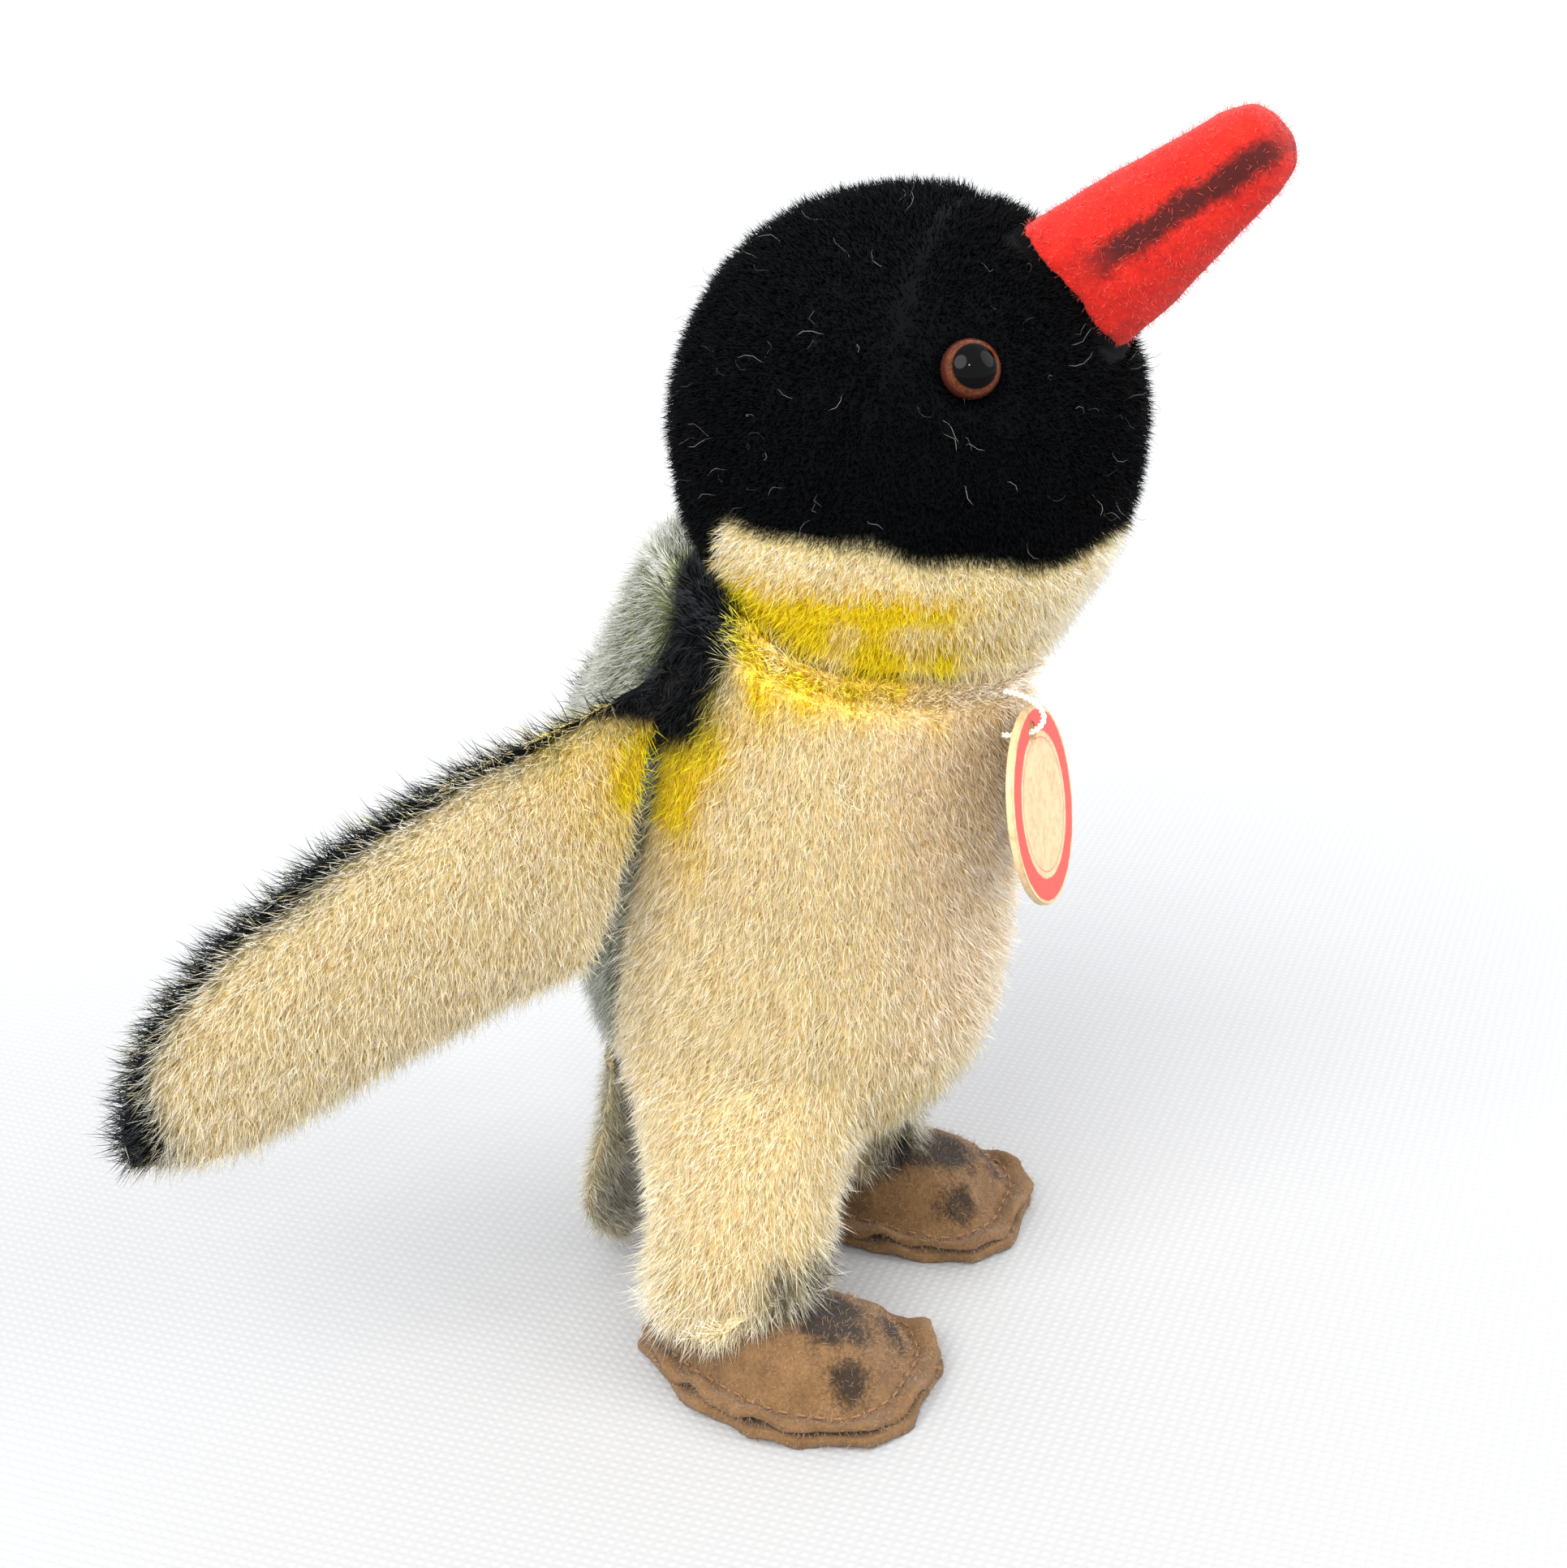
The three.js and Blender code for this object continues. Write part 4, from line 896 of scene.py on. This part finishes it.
# %% Stitch tree
def stitch_tree():
    tree = bpy.data.node_groups.new("stitches", "GeometryNodeTree")
    face = tree.interface
    face.new_socket("Geometry", in_out="INPUT", socket_type="NodeSocketGeometry")
    for label, kind in (
        ("Spacing", "Float"), ("Length", "Float"), ("Thickness", "Float"), ("Finish", "Material"),
    ):
        face.new_socket(label, in_out="INPUT", socket_type=f"NodeSocket{kind}")
    face.new_socket("Geometry", in_out="OUTPUT", socket_type="NodeSocketGeometry")
    made, link = tree.nodes.new, tree.links.new
    given, path = made("NodeGroupInput"), made("GeometryNodeMeshToCurve")
    steps = made("GeometryNodeCurveToPoints")
    steps.mode = "LENGTH"
    bead, size = made("GeometryNodeMeshIcoSphere"), made("ShaderNodeCombineXYZ")
    bead.inputs["Radius"].default_value, bead.inputs["Subdivisions"].default_value = 0.5, 2
    each, real = made("GeometryNodeInstanceOnPoints"), made("GeometryNodeRealizeInstances")
    look = made("GeometryNodeSetMaterial")
    link(given.outputs["Geometry"], path.inputs[0])
    link(path.outputs[0], steps.inputs["Curve"])
    link(given.outputs["Spacing"], steps.inputs["Length"])
    link(steps.outputs["Points"], each.inputs["Points"])
    link(steps.outputs["Rotation"], each.inputs["Rotation"])
    link(bead.outputs["Mesh"], each.inputs["Instance"])
    for axis, label in (("X", "Thickness"), ("Y", "Thickness"), ("Z", "Length")):
        link(given.outputs[label], size.inputs[axis])
    link(size.outputs[0], each.inputs["Scale"])
    link(each.outputs[0], real.inputs[0])
    link(real.outputs[0], look.inputs["Geometry"])
    link(given.outputs["Finish"], look.inputs["Material"])
    link(look.outputs[0], made("NodeGroupOutput").inputs[0])
    return tree


stitching = stitch_tree()
stitch_sockets = {i.name: i.identifier for i in stitching.interface.items_tree if i.in_out == "INPUT"}


def stitch_row(name, path, spacing_mm, length_mm, thick_mm, finish):
    """A closed row of stitches along a path of points."""
    mesh = bpy.data.meshes.new(name)
    edges = [(i, i + 1) for i in range(len(path) - 1)] + [(len(path) - 1, 0)]
    mesh.from_pydata([tuple(p) for p in path], edges, [])
    row = shown(name, mesh)
    sew = row.modifiers.new("sew", "NODES")
    sew.node_group = stitching
    sizes = {"Spacing": spacing_mm * MM, "Length": length_mm * MM, "Thickness": thick_mm * MM}
    for label, value in (*sizes.items(), ("Finish", finish)):
        sew[stitch_sockets[label]] = value
    settled(row)
    row.data.shade_smooth()
    print(f"{name}: {len(row.data.polygons)} faces")
    return row


def thread_finish(name, dark, light):
    cotton = Recipe(name, Roughness=0.8)
    fibres = cotton.grain(0.2, 3)
    cotton.into("Base Color", cotton.mix(fibres, dark, light))
    cotton.bump(fibres, 0.05)
    return cotton.look


brown_thread = thread_finish("brown_thread", dye(92, 62, 38), dye(140, 100, 66))
white_thread = thread_finish("white_thread", dye(214, 206, 190), dye(250, 244, 232))

# %% [markdown]
# ## The feet
#
# Each foot is a flat felt sole and a puffed felt upper sewn together inside their edges. The
# rim is two thick layers that never lie quite even, and the seam pulls the felt down. The
# outline is read from the solid, step by step round its middle, so the seam follows it.

# %% Feet
def make_foot(hand, seed):
    inside_upper = [f"foot_{part}_{hand}" for part in ("upper", "stuffing", "insole")]
    upper = skin_of(f"foot_upper_{hand}_felt", inside_upper, 0.5, 0.17, 4, 0.05)
    sole = skin_of(f"foot_sole_{hand}_felt", [f"foot_sole_{hand}"], 0.42, 0.08, 4, 0.03)
    lowest, highest = (np.array(c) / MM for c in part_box(f"foot_upper_{hand}"))
    middle = ((lowest + highest) / 2)[:2]
    around = points_of(upper.data) / MM
    angles = np.arctan2(around[:, 1] - middle[1], around[:, 0] - middle[0])
    spread = np.hypot(around[:, 0] - middle[0], around[:, 1] - middle[1])
    bins = np.linspace(-np.pi, np.pi, 61)
    turns = (np.abs((angles - t + np.pi) % (2 * np.pi) - np.pi) for t in bins)
    outline = np.array([spread[turn < 0.12].max() for turn in turns])
    wrapped = np.concatenate([outline[-4:-1], outline, outline[1:4]])
    outline = np.convolve(wrapped, [0.25, 0.5, 0.25], "same")[3:-3]
    for piece, layer in ((upper, 1), (sole, 0)):
        at = points_of(piece.data) / MM
        away = np.hypot(at[:, 0] - middle[0], at[:, 1] - middle[1])
        angle = np.arctan2(at[:, 1] - middle[1], at[:, 0] - middle[0])
        inside = np.interp(angle, bins, outline) - away
        rim = soft(-inside, -3.2, -0.8)
        wave = 0.42 * np.sin(angle * 9 + seed + 1.1 * layer)
        wave += 0.3 * np.sin(angle * 15 + 2.3 * seed + 2 * layer)
        at[:, 2] += rim * (wave * (0.9 if layer else 0.45) + (0.3 if layer else 0.25))
        seam = np.exp(-(((inside - 2.7) / 0.7) ** 2))
        at[:, 2] -= seam * (0.55 if layer else 0.0) * (at[:, 2] > 2.2)
        sway = rim * (0.25 * np.sin(angle * 7 + seed + 3 * layer))
        at[:, :2] += ((at[:, :2] - middle) / np.maximum(away, 1)[:, None]) * sway[:, None]
        at[:, 2] = np.maximum(at[:, 2], 0.02)
        put_points(piece.data, at * MM)
        lumpy(piece, 2.2, 0.1, seed + layer)
        at = points_of(piece.data)
        at[:, 2] = np.maximum(at[:, 2], 0.00002)
        put_points(piece.data, at)
        plain_numbers(piece, thick=np.where(at[:, 2] < 0.0004, 0.0, 1.0))
        piece.data.materials.append(tan_felt[hand])
        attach(piece, "body")
    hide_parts(f"foot_upper_{hand}", f"foot_stuffing_{hand}")
    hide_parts(f"foot_sole_{hand}")
    for piece in (upper, sole):
        name = piece.name.replace("felt", "fuzz")
        fuzz = plant(name, piece.data.copy(), tan_fuzz, 2.2, 0.9, 0.05, 0.0, 0.9, 0.5, seed)
        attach(fuzz, "body")
    seam_path = [
        ((middle[0] + (r - 2.7) * math.cos(t)) * MM, (middle[1] + (r - 2.7) * math.sin(t)) * MM, 0.0030)
        for t, r in zip(bins[:-1], outline[:-1])
    ]
    row = stitch_row(f"foot_seam_{hand}", seam_path, 2.1, 1.3, 0.32, brown_thread)
    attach(row, "body")


def foot_marks(hand):
    lowest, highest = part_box(f"foot_upper_{hand}")
    middle = (lowest.x + highest.x) / 2
    toes = [(middle + dx * MM, lowest.y + dy * MM, 4.5 * MM) for dx, dy in ((-5.5, 7.5), (4.5, 6.5))]
    return [((middle, lowest.y + 11 * MM, 9 * MM), 5.2, 0.9)] + [(toe, 3.1, 0.85) for toe in toes]


TAN_DARK, TAN_LIGHT, MARK = dye(86, 62, 38), dye(120, 90, 58), dye(14, 12, 11)
tan_felt = {
    hand: felt_finish(f"tan_felt_{hand}", TAN_DARK, TAN_LIGHT, foot_marks(hand), MARK)
    for hand in ("right", "left")
}
tan_fuzz = fuzz_finish("tan_fuzz", dye(146, 112, 80))
make_foot("right", 3)
make_foot("left", 8)

# %% [markdown]
# ## The beak
#
# Two pieces of red felt joined along the top and bottom edges and lightly filled. The seam is
# drawn in a little near the tip, and a dark stripe was painted along each side.

# %% Beak
beak = skin_of("beak_felt", ["beak_half_right", "beak_half_left", "beak_stuffing"], 0.5, 0.22, 5, 0.0)
at = points_of(beak.data)
reach = (at - ball) @ pointing / MM
facing = points_of(beak.data, "normal")
pinch = np.exp(-((at[:, 0] / MM / 0.55) ** 2)) * soft(reach, 24, 27)
put_points(beak.data, at - facing * (0.2 * pinch * MM)[:, None])
lumpy(beak, 3.0, 0.12, 5)


def side_stripe(wool, colour, edge):
    across = wool.along(tuple(rising)) - float(ball @ rising)
    onwards = (wool.along(tuple(pointing)) - float(ball @ pointing)) / MM
    off = abs(across / MM - (35 - onwards) * 0.06) / 1.5 + edge * 1.5
    band = (1 - off).between(-0.55, 0.6) * onwards.between(23.0, 30.0) * (49.5 - onwards).between(0.0, 3.5)
    faded = wool.mix(band * 0.94, colour, dye(48, 14, 12))
    outline = abs(wool.along((1.0, 0.0, 0.0))) / MM
    return wool.mix((0.45 - outline).between(0.0, 0.35) * 0.6, faded, dye(96, 10, 8))


beak.data.materials.append(felt_finish("red_felt", dye(160, 12, 6), dye(196, 34, 20), stripe=side_stripe))
plain_numbers(beak)
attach(beak, "head")
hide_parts("beak_half_right", "beak_half_left", "beak_stuffing")
beak_fuzz = plant("beak_fuzz", beak.data.copy(), fuzz_finish("red_fuzz", dye(206, 34, 22)), 2.4, 0.85, 0.045,
                  0.0, 0.9, 0.5, 81)
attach(beak_fuzz, "head")


# %% [markdown]
# ## Glass eyes
#
# A glass eye is a clear button with its colour behind it: a black pupil in a brown ring. Its
# dome is turned like a lathe's work. Each point keeps its distance from the middle, and the
# finish reads that number to place the pupil and the ring under a clear coat.

# %% Eyes
def turned_button(name, centre, axis, radius, depth, rim, rings=14, sides=56):
    profile = [(radius * 0.94, -rim), (radius, -rim * 0.6), (radius, 0.0)]
    dome = np.linspace(0.08, math.pi / 2 - 0.06, rings)
    profile += [(radius * math.cos(a), depth * math.sin(a)) for a in dome]
    facing_out = Vector(axis).to_track_quat("Z", "Y").to_matrix().to_4x4()
    spots, faces, ring = [], [], []
    for r, z in profile:
        for s in range(sides):
            t = 2 * math.pi * s / sides
            spots.append((r * math.cos(t), r * math.sin(t), z))
            ring.append(r / radius)
    for p in range(len(profile) - 1):
        for s in range(sides):
            low, nxt = p * sides, (s + 1) % sides
            faces.append((low + s, low + nxt, low + sides + nxt, low + sides + s))
    spots += [(0, 0, -rim), (0, 0, depth)]
    ring += [1.0, 0.0]
    back, front, top = len(spots) - 2, len(spots) - 1, (len(profile) - 1) * sides
    for s in range(sides):
        faces += [(back, (s + 1) % sides, s), (front, top + s, top + (s + 1) % sides)]
    mesh = bpy.data.meshes.new(name)
    mesh.from_pydata(spots, [], faces)
    mesh.transform(Matrix.Translation(centre) @ facing_out)
    mesh.attributes.new("ring", "FLOAT", "POINT").data.foreach_set("value", ring)
    mesh.shade_smooth()
    return shown(name, mesh)


def eye_finish():
    glass = Recipe("eye_glass", Roughness=0.4, Coat_Weight=1.0, Coat_Roughness=0.02, Coat_IOR=1.16,
                   Specular_IOR_Level=0.0)
    ring = glass.kept("ring")
    flecks = glass.grain(0.35, 4)
    iris = glass.mix(flecks.between(0.3, 0.7), dye(56, 26, 15), dye(94, 48, 28))
    rimmed = glass.mix(ring.between(0.86, 0.99), iris, dye(58, 26, 20))
    glass.into("Base Color", glass.mix(ring.between(0.72, 0.8), dye(2, 2, 2), rimmed))
    return glass.look


eye_look = eye_finish()
for hand in ("right", "left"):
    eye_middle = middle_of(f"eye_glass_{hand}")
    outwards = (eye_middle - ball) / np.linalg.norm(eye_middle - ball)
    eye = turned_button(f"eye_{hand}", ball + outwards * 0.0247, outwards, 0.0029, 0.0020, 0.0008)
    eye.data.materials.append(eye_look)
    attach(eye, "head")
    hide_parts(f"eye_glass_{hand}")
print("eyes set")

# %% [markdown]
# ## The chest tag
#
# A round paper tag on a loop of thread: a printed ring round a pale middle, without any
# lettering. The card is cut flat with its thread hole, given its thickness, and its edges are
# softened by a small bevel.

# %% Tag card
hinge = next(j for j in frame["joints"] if j["name"] == "tag_swing")
hole = np.array(hinge["pos_m"])
card_middle = middle_of("tag_card")
card_down = (card_middle - hole) / np.linalg.norm(card_middle - hole)
card_side = np.array([1.0, 0.0, 0.0])
card_front = np.cross(card_down, card_side)


def cut_card(name, radius, hole_radius, thickness):
    form = bmesh.new()
    for centre, r, count in ((card_middle, radius, 96), (hole, hole_radius, 28)):
        ring = []
        for s in range(count):
            t = 2 * math.pi * s / count
            spoke = r * (math.cos(t) * card_side + math.sin(t) * card_down)
            ring.append(form.verts.new(Vector(centre + spoke - card_front * thickness / 2)))
        for s in range(count):
            form.edges.new((ring[s], ring[(s + 1) % count]))
    bmesh.ops.triangle_fill(form, use_beauty=True, edges=form.edges[:])
    lifted = bmesh.ops.extrude_face_region(form, geom=form.faces[:])
    raised = [v for v in lifted["geom"] if isinstance(v, bmesh.types.BMVert)]
    bmesh.ops.translate(form, vec=Vector(card_front * thickness), verts=raised)
    bmesh.ops.recalc_face_normals(form, faces=form.faces[:])
    rims = [e for e in form.edges if len(e.link_faces) == 2 and e.calc_face_angle() > 1.0]
    bmesh.ops.bevel(form, geom=rims, offset=0.00015, segments=2, affect="EDGES")
    mesh = bpy.data.meshes.new(name)
    form.to_mesh(mesh)
    form.free()
    return shown(name, mesh)


def tag_finish():
    paper = Recipe("tag_paper", Roughness=0.55, Coat_Weight=0.15)
    worn = paper.grain(1.2, 5, 0.7)
    away = paper.distance(tuple(card_middle)) / MM
    inner_edge = (away - 7.6 + (worn - 0.5) * 0.3).between(0.0, 0.25)
    printed = inner_edge * (10.15 - away + (worn - 0.5) * 0.4).between(0.0, 0.2)
    inner = (away - 6.9).between(0.0, 0.12) * (7.15 - away).between(0.0, 0.12)
    front = paper.along(tuple(card_front)) - float(card_middle @ card_front)
    ink = (printed + inner * 0.8) * (front / MM).between(0.2, 0.3)
    stock = paper.mix(worn.between(0.35, 0.75), dye(190, 168, 126), dye(172, 138, 100))
    paper.into("Base Color", paper.mix(ink * worn.between(0.1, 0.3), stock, dye(184, 48, 34)))
    paper.bump(worn, 0.06)
    return paper.look


card = cut_card("tag_card_paper", 0.0105, 0.0011, 0.0008)
card.data.materials.append(tag_finish())
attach(card, "tag")
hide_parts("tag_card")
print("card faces:", len(card.data.polygons))


# %% Tag thread
def twisted_thread(name, path, radius, plies=2, twist_mm=1.1, sides=8):
    """Two plies wound round a path, each a closed tube."""
    spots, faces = [], []
    path = np.array(path)
    run = np.concatenate([[0], np.cumsum(np.linalg.norm(np.diff(path, axis=0), axis=1))])
    aim = np.gradient(path, axis=0)
    aim /= np.linalg.norm(aim, axis=1)[:, None]
    first = np.cross(aim, np.array([1.0, 0.0, 0.0]))
    second = np.cross(aim, first)
    for ply in range(plies):
        start = len(spots)
        for i, p in enumerate(path):
            t = 2 * math.pi * (run[i] / (twist_mm * MM) + ply / plies)
            centre = p + radius * 0.5 * (math.cos(t) * first[i] + math.sin(t) * second[i])
            for s in range(sides):
                a = 2 * math.pi * s / sides
                round_ply = math.cos(a) * first[i] + math.sin(a) * second[i]
                spots.append(tuple(centre + radius * 0.55 * round_ply))
        for i in range(len(path) - 1):
            for s in range(sides):
                low, nxt = start + i * sides, (s + 1) % sides
                faces.append((low + s, low + nxt, low + sides + nxt, low + sides + s))
        faces.append(tuple(start + s for s in reversed(range(sides))))
        faces.append(tuple(start + (len(path) - 1) * sides + s for s in range(sides)))
    mesh = bpy.data.meshes.new(name)
    mesh.from_pydata(spots, [], faces)
    form = bmesh.new()
    form.from_mesh(mesh)
    bmesh.ops.recalc_face_normals(form, faces=form.faces[:])
    form.to_mesh(mesh)
    form.free()
    mesh.shade_smooth()
    return shown(name, mesh)


thread_low, thread_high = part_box("tag_thread")
thread_mid = (thread_low + thread_high) / 2
loop_reach = thread_high.y - thread_low.y - 0.0007
loop = [
    (thread_mid.x, thread_high.y - 0.00035 - loop_reach * math.cos(t), thread_mid.z + 0.0024 * math.sin(t))
    for t in np.linspace(-math.pi / 2, math.pi / 2, 70)
]
thread = twisted_thread("tag_thread_cotton", loop, 0.00033)
thread.data.materials.append(white_thread)
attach(thread, "body")
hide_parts("tag_thread")
print("thread faces:", len(thread.data.polygons))

# %% [markdown]
# ## What is inside
#
# The discs, washers, pin, insoles and eye shanks keep the frame's own shape. They are hidden,
# but each still gets a true finish, so that the model is right if it is opened.

# %% Inner finishes
def board_finish(name, dark, light, speck_mm):
    board = Recipe(name, Roughness=0.9)
    specks = board.grain(speck_mm, 5, 0.7)
    streaks = board.grain(3.0, 3, 0.5, stretch=(1.0, 6.0, 1.0))
    board.into("Base Color", board.mix(specks * 0.6 + streaks * 0.4, dark, light))
    board.bump(specks, 0.08)
    return board.look


def steel_finish():
    wire = Recipe("pin_steel", Metallic=1.0)
    scratches = wire.grain(0.5, 4, 0.6, stretch=(1.0, 1.0, 8.0))
    wire.into("Base Color", wire.mix(scratches, dye(128, 130, 134), dye(190, 192, 196)))
    wire.into("Roughness", scratches * 0.35 + 0.22)
    wire.bump(scratches, 0.02)
    return wire.look


inner_looks = {
    "fibreboard": board_finish("fibreboard", dye(84, 56, 36), dye(132, 94, 62), 0.6),
    "card": board_finish("insole_card", dye(158, 124, 80), dye(196, 164, 116), 0.9),
    "steel": steel_finish(),
}
INNER = {
    "fibreboard": ["body_joint_disc", "head_joint_disc"],
    "card": ["foot_insole_right", "foot_insole_left"],
    "steel": [
        "body_joint_washer", "head_joint_washer", "neck_cotter_pin", "eye_shank_right", "eye_shank_left",
    ],
}
for slot_name, nodes in INNER.items():
    for node in nodes:
        frame["nodes"][node].data.materials.clear()
        frame["nodes"][node].data.materials.append(inner_looks[slot_name])
print("inner pieces finished:", sum(len(n) for n in INNER.values()))
